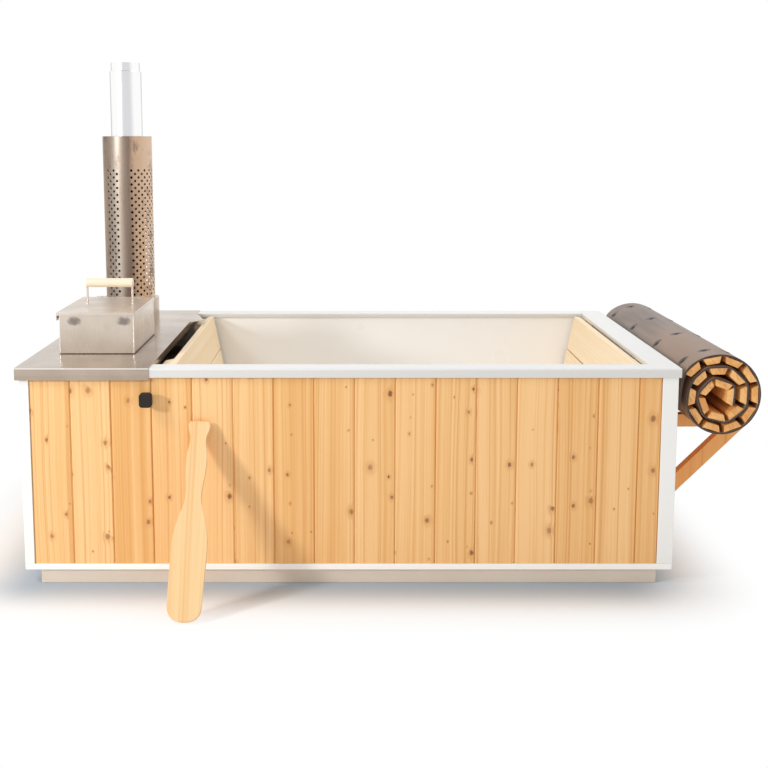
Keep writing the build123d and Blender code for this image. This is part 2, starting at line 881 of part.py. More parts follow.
# Rolled cover: the sheet's path is a spiral of straight stretches, one for each slat
roll_points = []
radius = roll_start_radius
angle = radians(roll_start_angle)
point = (radius * cos(angle), radius * sin(angle))
roll_points.append(point)
heading = None
for i in range(slat_count):
    step = 0
    for repeat in range(roll_trials):
        mean_radius = radius - roll_turn_step * step / (4 * pi)
        step = 2 * asin(slat_pitch / 2 / mean_radius)
    next_radius = radius - roll_turn_step * step / (2 * pi)
    target = (next_radius * cos(angle - step), next_radius * sin(angle - step))
    aim = atan2(target[1] - point[1], target[0] - point[0])
    if heading is not None:
        bend = (heading - aim) % (2 * pi)
        aim = heading - min(bend, radians(roll_max_bend))
    heading = aim
    point = (point[0] + slat_pitch * cos(aim), point[1] + slat_pitch * sin(aim))
    roll_points.append(point)
    radius = hypot(*point)
    angle = atan2(point[1], point[0])
tail_point = (roll_points[0][0] - 1, roll_points[0][1] - roll_tail)
sheet_path = [tail_point] + roll_points


def shifted_path(points, distance):
    """The same chain of straight stretches moved sideways, to the right of its travel."""
    headings = [atan2(b[1] - a[1], b[0] - a[0]) for a, b in zip(points, points[1:])]
    moved = []
    for i, place in enumerate(points):
        before = headings[max(i - 1, 0)]
        after = headings[min(i, len(headings) - 1)]
        half = ((after - before + pi) % (2 * pi) - pi) / 2
        normal = before + half - pi / 2
        reach = distance / cos(half)
        moved.append((place[0] + reach * cos(normal), place[1] + reach * sin(normal)))
    return moved


def bend_sizes(points, reach):
    """A radius for each bend, so that its arc starts and ends within reach of the corner."""
    headings = [atan2(b[1] - a[1], b[0] - a[0]) for a, b in zip(points, points[1:])]
    turns = [(before - after) % (2 * pi) for before, after in zip(headings, headings[1:])]
    return [min(reach / tan(turn / 2), roll_radius_limit) for turn in turns]


half_sheet = roll_sheet_thickness / 2
outer_path = shifted_path(sheet_path, -half_sheet)
inner_path = shifted_path(sheet_path, half_sheet)
bend_radii = bend_sizes(sheet_path, roll_bend_share * (slat_pitch - slat_width) / 2)
outer_radii = [radius + half_sheet for radius in bend_radii]
inner_radii = [radius - half_sheet for radius in bend_radii]
lowest = FilletPolyline(*outer_path, radius=outer_radii, mode=Mode.PRIVATE).bounding_box().min.Y
roll_z = arm_top + roll_seat - lowest
roll_plane = Plane(origin=(roll_x, -roll_length / 2, roll_z), x_dir=(1, 0, 0), z_dir=(0, -1, 0))
with BuildPart() as roll_sheet:
    with BuildSketch(roll_plane):
        with BuildLine():
            outer_line = FilletPolyline(*outer_path, radius=outer_radii)
            inner_line = FilletPolyline(*inner_path, radius=inner_radii)
            Line(outer_line @ 0, inner_line @ 0)
            Line(outer_line @ 1, inner_line @ 1)
        make_face()
    extrude(amount=-roll_length)
save(roll_sheet.part, "roll_sheet")

# Slats: tapered laths screwed flat to the inside of the sheet
with BuildPart() as slats:
    with BuildSketch(roll_plane):
        for start, end in zip(roll_points, roll_points[1:]):
            turn = atan2(end[1] - start[1], end[0] - start[0])
            along = (cos(turn), sin(turn))
            inward = (sin(turn), -cos(turn))
            middle = ((start[0] + end[0]) / 2, (start[1] + end[1]) / 2)
            outline = [
                (-slat_width / 2, half_sheet + slat_seat),
                (slat_width / 2, half_sheet + slat_seat),
                (slat_inner_width / 2, half_sheet + slat_seat + slat_thickness),
                (-slat_inner_width / 2, half_sheet + slat_seat + slat_thickness),
            ]
            placed = [
                (middle[0] + u * along[0] + v * inward[0], middle[1] + u * along[1] + v * inward[1])
                for u, v in outline
            ]
            with BuildLine():
                Polyline(*placed, close=True)
            make_face()
    extrude(amount=-roll_length)
save(slats.part, "roll_slats")

# The sheet's least gap to itself, measured between points more than two stretches apart
centre_line = FilletPolyline(*sheet_path, radius=bend_radii, mode=Mode.PRIVATE)
samples = [centre_line @ (i / roll_samples) for i in range(roll_samples + 1)]
apart = int(2.5 * slat_pitch / (centre_line.length / roll_samples))
least = min(
    hypot(a.X - b.X, a.Y - b.Y)
    for i, a in enumerate(samples)
    for b in samples[i + apart :]
)
print("roll sheet least gap to itself", round(least - roll_sheet_thickness, 2), "mm")

# Brackets: an upright on the wall, an arm under the roll and a strut at 45 degrees
for name, centre_y in (("near", -bracket_y), ("far", bracket_y)):
    side_plane = Plane(origin=(0, centre_y + bracket_width / 2, 0), x_dir=(1, 0, 0), z_dir=(0, -1, 0))
    arm_start = half_x + upright_thickness
    arm_end = half_x + arm_length
    arm_bottom = arm_top - arm_height
    with BuildPart() as upright:
        with BuildSketch(side_plane):
            with BuildLine():
                Polyline(
                    (face_x, upright_bottom),
                    (arm_start, upright_bottom),
                    (arm_start, arm_top),
                    (face_x, arm_top),
                    close=True,
                )
            make_face()
        extrude(amount=bracket_width)
    save(upright.part, f"bracket_{name}_upright")
    with BuildPart() as arm:
        with BuildSketch(side_plane):
            with BuildLine():
                Polyline(
                    (arm_start, arm_bottom),
                    (arm_end, arm_bottom),
                    (arm_end, arm_top),
                    (arm_start, arm_top),
                    close=True,
                )
            make_face()
        extrude(amount=bracket_width)
    save(arm.part, f"bracket_{name}_arm")
    strut_run = strut_width * sqrt(2)
    rise = arm_bottom - strut_foot
    with BuildPart() as strut:
        with BuildSketch(side_plane):
            with BuildLine():
                Polyline(
                    (arm_start, strut_foot),
                    (arm_start + rise, arm_bottom),
                    (arm_start + rise - strut_run, arm_bottom),
                    (arm_start, strut_foot + strut_run),
                    close=True,
                )
            make_face()
        extrude(amount=bracket_width)
    save(strut.part, f"bracket_{name}_strut")


# Drain: a flanged tail through the liner and the wall, then a quarter-turn ball valve
drain_section = Plane(origin=(0, drain_y, drain_z), x_dir=(1, 0, 0), z_dir=(0, -1, 0))
drain_axis = Axis((0, drain_y, drain_z), (1, 0, 0))
liner_face = liner_x - liner_wall
valve_x = face_x + valve_start
valve_end = valve_x + valve_length
valve_middle = valve_x + valve_length / 2
with BuildPart() as tail:
    with BuildSketch(drain_section):
        with BuildLine():
            Polyline(
                (liner_face - drain_flange_thickness, drain_bore),
                (liner_face - drain_flange_thickness, drain_flange_radius),
                (liner_face, drain_flange_radius),
                (liner_face, drain_radius),
                (valve_x, drain_radius),
                (valve_x, drain_bore),
                close=True,
            )
        make_face()
    revolve(axis=drain_axis)
save(tail.part, "drain_tail")

hex_radius = spigot_radius + valve_end_step
valve_axis = Plane(origin=(valve_middle, drain_y, drain_z))
with BuildPart() as body:
    with BuildSketch(drain_section):
        with BuildLine():
            Polyline(
                (valve_x, drain_bore),
                (valve_x, hex_radius),
                (valve_x + 2 * valve_end_step, hex_radius),
                (valve_x + 3 * valve_end_step, valve_radius),
                (valve_end - 3 * valve_end_step, valve_radius),
                (valve_end - 2 * valve_end_step, hex_radius),
                (valve_end, hex_radius),
                (valve_end, spigot_radius),
                (valve_end + spigot_length, spigot_radius),
                (valve_end + spigot_length, drain_bore),
                close=True,
            )
        make_face()
    revolve(axis=drain_axis)
    with BuildSketch(valve_axis.offset(valve_ball_radius)):
        Circle(valve_stem_radius + valve_end_step)
    extrude(amount=valve_radius + valve_end_step - valve_ball_radius)
    with Locations((valve_middle, drain_y, drain_z)):
        Sphere(valve_ball_radius + valve_cavity_clearance, mode=Mode.SUBTRACT)
    with BuildSketch(valve_axis):
        Circle(valve_stem_radius + valve_running)
    extrude(amount=valve_radius + 2 * valve_end_step, mode=Mode.SUBTRACT)
save(body.part, "valve_body")

with BuildPart() as ball:
    with Locations((valve_middle, drain_y, drain_z)):
        Sphere(valve_ball_radius)
    with BuildSketch(Plane(origin=(valve_middle, drain_y, drain_z), x_dir=(1, 0, 0), z_dir=(0, 1, 0))):
        Circle(valve_ball_bore)
    extrude(amount=valve_ball_radius, both=True, mode=Mode.SUBTRACT)
    with BuildSketch(valve_axis.offset(valve_ball_bore + valve_seat_gap)):
        Circle(valve_stem_radius)
    extrude(amount=lever_height - valve_ball_bore - valve_seat_gap)
save(ball.part, "valve_ball_and_stem")

with BuildPart() as lever:
    with BuildSketch(valve_axis.offset(lever_height - lever_thickness)):
        with Locations((0, (lever_length - lever_width) / 2)):
            SlotOverall(lever_length, lever_width, rotation=90)
        Circle(valve_stem_radius, mode=Mode.SUBTRACT)
    extrude(amount=lever_thickness)
save(lever.part, "valve_lever")

# Paddle: a flat stirring board with a long blade, leaning on the cladding
lean_y = (paddle_length ** 2 - paddle_top_z ** 2 - (paddle_top_x - paddle_foot_x) ** 2) ** 0.5
paddle_up = Vector(paddle_top_x - paddle_foot_x, lean_y, paddle_top_z).normalized()
paddle_across = Vector(1, 0, -paddle_up.X / paddle_up.Z).normalized()
paddle_normal = paddle_across.cross(paddle_up)
paddle_y = -face_y - paddle_gap - lean_y
paddle_plane = Plane(origin=(paddle_foot_x, paddle_y, 0), x_dir=paddle_across, z_dir=paddle_normal)
half_outline = [
    (paddle_blade / 2 - 1, paddle_round_end),
    (paddle_blade / 2, paddle_blade_length / 2),
    (paddle_blade / 2 - 3, paddle_blade_length),
    ((paddle_blade + paddle_neck) / 4, (paddle_blade_length + paddle_neck_start) / 2),
    (paddle_neck / 2, paddle_neck_start),
    (paddle_grip / 2, (paddle_neck_start + paddle_grip_end) / 2),
    (paddle_grip / 2, paddle_grip_end),
    (paddle_waist / 2, (paddle_grip_end + paddle_length) / 2),
    (paddle_flare / 2, paddle_length - paddle_flare_end),
]
with BuildPart() as paddle:
    with BuildSketch(paddle_plane):
        with BuildLine():
            Spline((0, 0), (paddle_corner, paddle_corner_rise), half_outline[0], tangents=[(1, 0), (0, 1)])
            Spline(*half_outline, tangents=[(0, 1), (0, 1)])
            Line(half_outline[-1], (paddle_top / 2, paddle_length))
            Line((paddle_top / 2, paddle_length), (0, paddle_length))
            mirror(about=Plane.YZ)
        make_face()
    extrude(amount=paddle_thickness)
save(paddle.part, "paddle")
print("roll centre", roll_x, round(roll_z, 1), "paddle foot y", round(paddle_y, 1))
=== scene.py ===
import bpy
import json
from math import asin, atan2, cos, pi, radians, sin
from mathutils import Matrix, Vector

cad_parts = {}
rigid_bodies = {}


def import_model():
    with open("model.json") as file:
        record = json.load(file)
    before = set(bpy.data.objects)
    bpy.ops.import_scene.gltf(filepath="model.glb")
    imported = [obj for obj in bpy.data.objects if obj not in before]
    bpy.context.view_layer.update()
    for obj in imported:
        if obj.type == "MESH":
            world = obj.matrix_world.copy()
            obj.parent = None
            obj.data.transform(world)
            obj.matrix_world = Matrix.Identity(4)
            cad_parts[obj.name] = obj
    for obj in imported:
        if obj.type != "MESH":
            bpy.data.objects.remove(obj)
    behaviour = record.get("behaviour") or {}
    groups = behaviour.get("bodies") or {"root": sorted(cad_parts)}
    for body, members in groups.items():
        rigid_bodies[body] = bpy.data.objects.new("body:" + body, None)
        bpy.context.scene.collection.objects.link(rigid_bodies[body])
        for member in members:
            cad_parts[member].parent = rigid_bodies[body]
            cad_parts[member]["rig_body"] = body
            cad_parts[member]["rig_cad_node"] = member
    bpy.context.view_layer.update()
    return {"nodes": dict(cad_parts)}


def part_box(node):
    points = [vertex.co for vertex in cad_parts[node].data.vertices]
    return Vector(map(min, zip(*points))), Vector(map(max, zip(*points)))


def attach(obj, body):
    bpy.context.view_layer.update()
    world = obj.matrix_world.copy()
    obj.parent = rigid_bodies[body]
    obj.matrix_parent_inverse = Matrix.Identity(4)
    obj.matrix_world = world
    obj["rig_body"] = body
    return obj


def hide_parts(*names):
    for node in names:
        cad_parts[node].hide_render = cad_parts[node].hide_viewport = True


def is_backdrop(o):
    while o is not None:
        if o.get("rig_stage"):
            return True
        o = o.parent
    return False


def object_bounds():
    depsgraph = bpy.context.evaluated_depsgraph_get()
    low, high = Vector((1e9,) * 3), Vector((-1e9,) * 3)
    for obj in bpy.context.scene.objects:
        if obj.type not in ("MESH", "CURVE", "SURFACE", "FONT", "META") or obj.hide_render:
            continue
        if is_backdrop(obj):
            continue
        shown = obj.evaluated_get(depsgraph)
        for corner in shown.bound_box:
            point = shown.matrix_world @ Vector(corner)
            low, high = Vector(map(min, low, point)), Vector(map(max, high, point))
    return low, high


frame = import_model()

# The room is plain: a pale floor that runs out into a white surround, two soft lamps from the
# front left, a broad one overhead, and an even light from all round. Close to the tub's foot the
# floor carries a painted grey shadow, which only the camera sees.
floor_size = 60.0
painted_foot_shadow_tone = (0.43, 0.485, 0.545)
floor_tone = 0.97
surround = 0.56
foot_middle = (-0.06, 0.0)
foot_half = (0.97, 0.73)
bpy.ops.mesh.primitive_plane_add(size=floor_size, location=(*foot_middle, -0.0005))
floor = bpy.context.active_object
floor.name = "floor"
floor_paint = bpy.data.materials.new("floor_paint")
floor_paint.use_nodes = True
floor_tree = floor_paint.node_tree
floor_shader = floor_tree.nodes["Principled BSDF"]
floor_shader.inputs["Roughness"].default_value = 0.8
floor_shader.inputs["Specular IOR Level"].default_value = 0.1
spot = floor_tree.nodes.new("ShaderNodeTexCoord")
beyond = floor_tree.nodes.new("ShaderNodeVectorMath")
beyond.operation = "ABSOLUTE"
floor_tree.links.new(spot.outputs["Object"], beyond.inputs[0])
past = floor_tree.nodes.new("ShaderNodeVectorMath")
past.operation = "SUBTRACT"
past.inputs[1].default_value = (*foot_half, 0)
floor_tree.links.new(beyond.outputs[0], past.inputs[0])
outside = floor_tree.nodes.new("ShaderNodeVectorMath")
outside.operation = "MAXIMUM"
floor_tree.links.new(past.outputs[0], outside.inputs[0])
reach = floor_tree.nodes.new("ShaderNodeVectorMath")
reach.operation = "LENGTH"
floor_tree.links.new(outside.outputs[0], reach.inputs[0])
fades = []
for near, far in ((0.0, 0.34), (0.08, 0.50)):
    fade = floor_tree.nodes.new("ShaderNodeMapRange")
    fade.interpolation_type = "SMOOTHSTEP"
    fade.inputs["From Min"].default_value = near
    fade.inputs["From Max"].default_value = far
    floor_tree.links.new(reach.outputs["Value"], fade.inputs["Value"])
    fades.append(fade)
# Camera rays see the painted shadow tone near the foot; other rays see the plain floor tone.
tones = floor_tree.nodes.new("ShaderNodeMix")
tones.data_type = "RGBA"
tones.inputs[6].default_value = (*painted_foot_shadow_tone, 1)
tones.inputs[7].default_value = (floor_tone, floor_tone, floor_tone, 1)
looked_at = floor_tree.nodes.new("ShaderNodeLightPath")
unseen = floor_tree.nodes.new("ShaderNodeMath")
unseen.operation = "SUBTRACT"
unseen.inputs[0].default_value = 1.0
floor_tree.links.new(looked_at.outputs["Is Camera Ray"], unseen.inputs[1])
paler = floor_tree.nodes.new("ShaderNodeMath")
paler.operation = "MAXIMUM"
floor_tree.links.new(fades[0].outputs[0], paler.inputs[0])
floor_tree.links.new(unseen.outputs[0], paler.inputs[1])
floor_tree.links.new(paler.outputs[0], tones.inputs[0])
floor_tree.links.new(tones.outputs[2], floor_shader.inputs["Base Color"])
white = floor_tree.nodes.new("ShaderNodeEmission")
white.inputs["Color"].default_value = (1, 1, 1, 1)
runs_out = floor_tree.nodes.new("ShaderNodeMixShader")
floor_tree.links.new(fades[1].outputs[0], runs_out.inputs[0])
floor_tree.links.new(floor_shader.outputs[0], runs_out.inputs[1])
floor_tree.links.new(white.outputs[0], runs_out.inputs[2])
floor_tree.links.new(runs_out.outputs[0], floor_tree.nodes["Material Output"].inputs["Surface"])
floor.data.materials.append(floor_paint)
floor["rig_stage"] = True

world = bpy.context.scene.world or bpy.data.worlds.new("surround")
bpy.context.scene.world = world
world.use_nodes = True
sky = world.node_tree
sky.nodes.clear()
path = sky.nodes.new("ShaderNodeLightPath")
seen = sky.nodes.new("ShaderNodeMath")
seen.operation = "MAXIMUM"
sky.links.new(path.outputs["Is Camera Ray"], seen.inputs[0])
mirrored = sky.nodes.new("ShaderNodeMath")
mirrored.operation = "MAXIMUM"
sky.links.new(path.outputs["Is Glossy Ray"], mirrored.inputs[0])
sky.links.new(path.outputs["Is Transmission Ray"], mirrored.inputs[1])
sky.links.new(mirrored.outputs[0], seen.inputs[1])
strength = sky.nodes.new("ShaderNodeMapRange")
strength.inputs["To Min"].default_value = surround
strength.inputs["To Max"].default_value = 1.0
sky.links.new(seen.outputs[0], strength.inputs["Value"])
background = sky.nodes.new("ShaderNodeBackground")
background.inputs["Color"].default_value = (1, 1, 1, 1)
sky.links.new(strength.outputs[0], background.inputs["Strength"])
sky_output = sky.nodes.new("ShaderNodeOutputWorld")
sky.links.new(background.outputs[0], sky_output.inputs["Surface"])

for name, stand, travel, power, width in (
    ("key_lamp", (-3.95, -3.45, 2.05), (66, 52, -34), 92, 0.55),
    ("high_lamp", (-2.50, -1.84, 2.74), (80, 48, -92), 26, 0.8),
    ("top_lamp", (1.30, 0.90, 3.90), (-30, -10, -80), 44, 2.0),
):
    bpy.ops.object.light_add(type="AREA", location=stand)
    lamp = bpy.context.active_object
    lamp.name = name
    lamp.data.shape = "DISK"
    lamp.data.size = width
    lamp.data.energy = power
    lamp.rotation_euler = Vector(travel).to_track_quat("-Z", "Y").to_euler()

# The camera stands at eye height in front of the tub, a little left of its middle, and looks
# slightly down. Its shift puts the vanishing point where the photograph has it.
picture_width = 768
focal_pixels = 1329
vanishing_x = 352
vanishing_y = 344
tilt_down = 8.73
bpy.ops.object.camera_add(location=(0.011, -5.065, 1.485), rotation=(radians(90 - tilt_down), 0, 0))
camera = bpy.context.active_object
camera.data.sensor_width = 36
camera.data.lens = focal_pixels * camera.data.sensor_width / picture_width
camera.data.shift_x = (picture_width / 2 - vanishing_x) / picture_width
camera.data.shift_y = (vanishing_y - picture_width / 2) / picture_width
bpy.context.scene.camera = camera
bpy.context.scene.view_settings.view_transform = "Standard"


# The timbers that carry the tub are hidden: rough-sawn spruce rails, studs and joists, and a
# plywood deck. This section also holds the shader class and the wood that later sections use.
class Link:
    """A node's output, which can be used in sums."""

    def __init__(self, socket):
        self.socket = socket

    def node(self, kind, settings=None, sockets=None, out=0):
        tree = self.socket.id_data
        made = tree.nodes.new(kind)
        for name, value in (settings or {}).items():
            if name == "stops":
                while len(made.color_ramp.elements) < len(value):
                    made.color_ramp.elements.new(1.0)
                for element, (position, colour) in zip(made.color_ramp.elements, value):
                    element.position = position
                    element.color = (*colour, 1)
            else:
                setattr(made, name, value)
        for key, value in (sockets or {}).items():
            if isinstance(value, Link):
                tree.links.new(value.socket, made.inputs[key])
            else:
                made.inputs[key].default_value = value
        return Link(made.outputs[out])

    def sum(self, operation, a, b=0.0):
        return self.node("ShaderNodeMath", {"operation": operation}, {0: a, 1: b})

    def __add__(self, other):
        return self.sum("ADD", self, other)

    __radd__ = __add__

    def __sub__(self, other):
        return self.sum("SUBTRACT", self, other)

    def __rsub__(self, other):
        return self.sum("SUBTRACT", other, self)

    def __mul__(self, other):
        return self.sum("MULTIPLY", self, other)

    def __truediv__(self, other):
        return self.sum("DIVIDE", self, other)

    def __pow__(self, other):
        return self.sum("POWER", self, other)

    def floor(self):
        return self.sum("FLOOR", self)

    def size(self):
        return self.sum("ABSOLUTE", self)

    def step(self, low, high):
        """0 at low and 1 at high, with a smooth change between them."""
        return self.node(
            "ShaderNodeMapRange",
            {"interpolation_type": "SMOOTHSTEP"},
            {"Value": self, "From Min": low, "From Max": high},
        )

    def mix(self, first, second):
        """The first colour where this is 0, the second where it is 1."""
        return self.node(
            "ShaderNodeMix",
            {"data_type": "RGBA"},
            {0: self, 6: colour_of(first), 7: colour_of(second)},
            2,
        )

    def noise(self, scale, detail=2.0, roughness=0.5):
        return self.node(
            "ShaderNodeTexNoise",
            {},
            {"Vector": self, "Scale": scale, "Detail": detail, "Roughness": roughness},
        )

    def axes(self):
        return [self.node("ShaderNodeSeparateXYZ", {}, {0: self}, i) for i in range(3)]

    def vector(self, x, y, z):
        return self.node("ShaderNodeCombineXYZ", {}, {0: x, 1: y, 2: z})

    def bump(self, strength, distance):
        return self.node(
            "ShaderNodeBump", {}, {"Height": self, "Strength": strength, "Distance": distance}
        )


def colour_of(value):
    return value if isinstance(value, Link) else (*value, 1)


def new_finish(name, **sockets):
    """A material with one shader, its even values set, and the place on the piece as a link."""
    finish = bpy.data.materials.new(name)
    finish.use_nodes = True
    shader = finish.node_tree.nodes["Principled BSDF"]
    for key, value in sockets.items():
        shader.inputs[key.replace("_", " ")].default_value = value
    place = finish.node_tree.nodes.new("ShaderNodeTexCoord")
    return finish, Link(place.outputs["Object"])


def feed(finish, **links):
    """Joins what varies over the surface to the shader's sockets."""
    shader = finish.node_tree.nodes["Principled BSDF"]
    for key, link in links.items():
        finish.node_tree.links.new(link.socket, shader.inputs[key.replace("_", " ")])


def put_on(finish, *nodes):
    """Gives CAD nodes a finish in place of the plain one they come with."""
    for name in nodes:
        surface = frame["nodes"][name].data
        surface.materials.clear()
        surface.materials.append(finish)


def wood(name, tones, across, along, bands=150.0, knots=0.3, knot_size=0.006, polish=0.5, contrast=1.0):
    """Sawn wood: tones are pale, warm, line and knot colours. across and along give, from the place,
    the length across a board with its number and depth, and the length along its grain."""
    finish, place = new_finish(name)
    width, number, depth = across(place)
    chance = place.node("ShaderNodeTexWhiteNoise", {"noise_dimensions": "1D"}, {"W": number})
    slid = along(place) + chance * 23.0
    spots = place.vector(width * 16.0 + number * 7.0, slid * 12.0, 0.0)
    flat = {"voronoi_dimensions": "2D"}
    away = place.node("ShaderNodeTexVoronoi", flat, {"Vector": spots, "Scale": 1.0})
    luck = place.node("ShaderNodeTexVoronoi", flat, {"Vector": spots, "Scale": 1.0}, 1).axes()
    present = luck[0].sum("GREATER_THAN", luck[0], 1.0 - knots)
    radius = (luck[1] ** 2.0 * 1.3 + 0.28) * (knot_size * 16.0) * present
    ragged = away + (place.noise(150.0, 3.0, 0.6) - 0.5) * 0.11
    core = (1.0 - ragged.step(radius * 0.55, radius * 1.15 + 0.001)) * present
    halo = (1.0 - ragged.step(radius * 0.7, radius * 3.4 + 0.001)) * present
    drift = place.vector(width * 5.0, slid * 0.9, number * 9.0 + depth * 6.0).noise(1.0, 1.0) - 0.5
    bent = width + drift * 0.035 + halo * 0.006
    band = place.vector(bent * bands, slid * 0.22, number * 13.0 + depth * 40.0).noise(1.0, 3.0, 0.6)
    fibre = place.vector(width * 900.0, slid * 9.0, depth * 900.0).noise(1.0, 2.0, 0.6)
    wide = place.vector(bent * 22.0, slid * 0.5, number * 3.0).noise(1.0, 2.0)
    tone = (chance - 0.5) * 0.5 + (wide - 0.5) * 1.1 + (band - 0.5) * 1.5 + (fibre - 0.5) * 0.5
    base = (tone * contrast + 0.46).step(0.0, 1.0).mix(tones[0], tones[1])
    grain = (band.step(0.54, 0.70) * (0.42 * contrast)).mix(base, tones[2])
    warmed = (halo * 0.42).mix(grain, tones[2])
    final = (core * (luck[2] * 0.45 + 0.45)).mix(warmed, tones[3])
    feed(
        finish,
        Base_Color=final,
        Roughness=fibre * 0.18 + polish - 0.09,
        Normal=(fibre * 0.5 + band * 0.5 + core * 0.6).bump(0.3, 0.0005),
    )
    return finish


def across_boards(axis, start, pitch):
    """Boards side by side along one axis, numbered from start."""

    def measure(place):
        axes = place.axes()
        number = ((axes[axis] - start) / pitch).floor()
        return axes[axis] - start - number * pitch, number, axes[1 - axis if axis < 2 else 0]

    return measure


def along_axis(axis):
    return lambda place: place.axes()[axis]


sawn = wood(
    "sawn_timber",
    ((0.70, 0.52, 0.31), (0.58, 0.40, 0.21), (0.50, 0.31, 0.14), (0.16, 0.07, 0.03)),
    across_boards(0, -1.1, 0.145),
    along_axis(1),
    polish=0.8,
)
put_on(sawn, "frame_rails", "corner_studs", "base_deck", "plinth_joists")

foam, foam_place = new_finish("foam_slab", Roughness=0.85)
foam_grain = foam_place.noise(420.0, 3.0)
feed(
    foam,
    Base_Color=foam_grain.mix((0.78, 0.70, 0.42), (0.88, 0.82, 0.58)),
    Normal=foam_grain.bump(0.4, 0.001),
)
put_on(foam, "wall_insulation", "floor_insulation")

# The cladding is tongue-and-groove spruce, oiled clear: upright boards with a V joint, each with
# its own tone, its grain running up and a few small brown knots.
board_pitch = 0.135
oiled_tones = ((0.94, 0.585, 0.265), (0.80, 0.42, 0.135), (0.62, 0.255, 0.065), (0.20, 0.07, 0.022))
for name, axis, sign in (("front", 0, 1), ("back", 0, -1), ("right", 1, 1), ("left", 1, -1)):
    low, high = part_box(f"cladding_{name}")
    first = low[axis] if sign > 0 else high[axis]
    boards = wood(
        f"oiled_spruce_{name}",
        oiled_tones,
        across_boards(axis, first - sign * 0.0005, sign * board_pitch),
        along_axis(2),
        polish=0.48,
    )
    put_on(boards, f"cladding_{name}")
    if name == "right":
        put_on(boards, "drain_board")


# The folded rim, the corner posts and the edging under the boards are aluminium profiles with a
# smooth white powder coat. The copy of each has its sharp edges eased, as a coated fold is.
def eased(node, width, body="tub", steps=2):
    """A CAD node's own shape with its sharp edges rounded, standing for the node."""
    bpy.ops.object.select_all(action="DESELECT")
    source = frame["nodes"][node]
    bpy.context.view_layer.objects.active = source
    source.select_set(True)
    bpy.ops.object.duplicate()
    piece = bpy.context.active_object
    piece.name = f"{node}_eased"
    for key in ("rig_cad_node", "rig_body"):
        if key in piece:
            del piece[key]
    piece.parent = None
    bpy.ops.object.mode_set(mode="EDIT")
    bpy.ops.mesh.select_all(action="SELECT")
    bpy.ops.mesh.remove_doubles(threshold=0.00001)
    bpy.ops.mesh.dissolve_limited(angle_limit=radians(1))
    bpy.ops.object.mode_set(mode="OBJECT")
    edge = piece.modifiers.new("edge", "BEVEL")
    edge.width = width
    edge.segments = steps
    edge.angle_limit = radians(35)
    edge.limit_method = "ANGLE"
    piece.modifiers.new("facing", "WEIGHTED_NORMAL")
    bpy.ops.object.shade_smooth()
    bpy.ops.object.modifier_apply(modifier="edge")
    bpy.ops.object.modifier_apply(modifier="facing")
    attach(piece, body)
    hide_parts(node)
    return piece


def dress(piece, finish):
    """Gives a piece its finish."""
    piece.data.materials.clear()
    piece.data.materials.append(finish)


def powder_coat(name, colour, shade, gloss):
    """Gives the coat, the place on the piece and the coat's own colour as links."""
    finish, place = new_finish(name, Coat_Roughness=0.15)
    skin = place.noise(900.0, 2.0)
    coat_colour = place.noise(3.0, 3.0).mix(colour, shade)
    feed(
        finish,
        Base_Color=coat_colour,
        Roughness=skin * 0.10 + gloss,
        Normal=skin.bump(0.10, 0.0003),
    )
    return finish, place, coat_colour


profile_edge = 0.0015
rim_edge = 0.0022
rim_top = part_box("rim_front")[1].z
post_coat = powder_coat("white_coat", (0.92, 0.905, 0.875), (0.88, 0.86, 0.82), 0.34)[0]
for name in ("front_left", "front_right", "back_left", "back_right"):
    dress(eased(f"post_{name}", profile_edge), post_coat)
trim_coat = powder_coat("trim_coat", (0.985, 0.965, 0.935), (0.96, 0.935, 0.90), 0.34)[0]
dress(eased("bottom_trim", profile_edge), trim_coat)
rim_coat, rim_place, rim_colour = powder_coat(
    "rim_coat", (0.84, 0.835, 0.82), (0.80, 0.79, 0.77), 0.24
)
# The rim's face below its top is painted greyer than its top, as painted shade.
painted_lip_shade = 1.0 - rim_place.axes()[2].step(rim_top - 0.008, rim_top - 0.002)
feed(rim_coat, Base_Color=painted_lip_shade.mix(rim_colour, (0.70, 0.69, 0.665)))
for name in ("front", "right", "back", "left"):
    dress(eased(f"rim_{name}", rim_edge, "tub", 3), rim_coat)

# The recessed plinth that the tub stands on is faced with grey-beige board, a little scuffed, and
# darker along its lowest 3 cm.
plinth_board, plinth_place = new_finish("plinth_board")
scuff = plinth_place.noise(9.0, 4.0)
low_edge = 1.0 - plinth_place.axes()[2].step(0.0, 0.03)
feed(
    plinth_board,
    Base_Color=(scuff * 0.7 + low_edge * 0.35).mix((0.70, 0.62, 0.53), (0.60, 0.51, 0.42)),
    Roughness=scuff * 0.2 + 0.5,
    Normal=plinth_place.noise(300.0, 3.0).bump(0.2, 0.0004),
)
dress(eased("plinth", 0.001), plinth_board)

# The liner is one moulded tub of glass-reinforced plastic with a satin cream gel coat, very
# slightly wavy.
gel_coat, gel_place = new_finish("gel_coat", Coat_Weight=0.25, Coat_Roughness=0.12)
wave = gel_place.noise(4.0, 2.0)
feed(
    gel_coat,
    Base_Color=wave.mix((0.97, 0.955, 0.93), (0.955, 0.935, 0.905)),
    Roughness=wave * 0.12 + 0.24,
    Normal=gel_place.noise(60.0, 2.0).bump(0.05, 0.0006),
)
put_on(gel_coat, "liner")


# The stove end is covered by a plate of brushed stainless steel, folded down on three sides, with
# a small triangular gusset at its back corner. Use has left it warm-toned and softly smudged.
def brushed(name, stroke, rough, smudge=0.5, grain=1.0):
    """Brushed sheet without its colour: stroke is how much the noise is stretched along X, Y and Z.
    Gives the place on the piece and, as wipe, how far each spot is smudged."""
    finish, place = new_finish(name, Metallic=1.0)
    x, y, z = place.axes()
    hairs = place.vector(x * stroke[0], y * stroke[1], z * stroke[2]).noise(1.0, 3.0, 0.65)
    cloud = place.noise(6.5, 4.0, 0.55)
    wipe = (cloud - 0.5) * (2.0 * smudge) + (hairs - 0.5) * 0.35 + 0.4
    feed(
        finish,
        Roughness=hairs * 0.16 + cloud * 0.14 + rough - 0.12,
        Normal=hairs.bump(0.16 * grain, 0.00025),
    )
    return finish, place, wipe


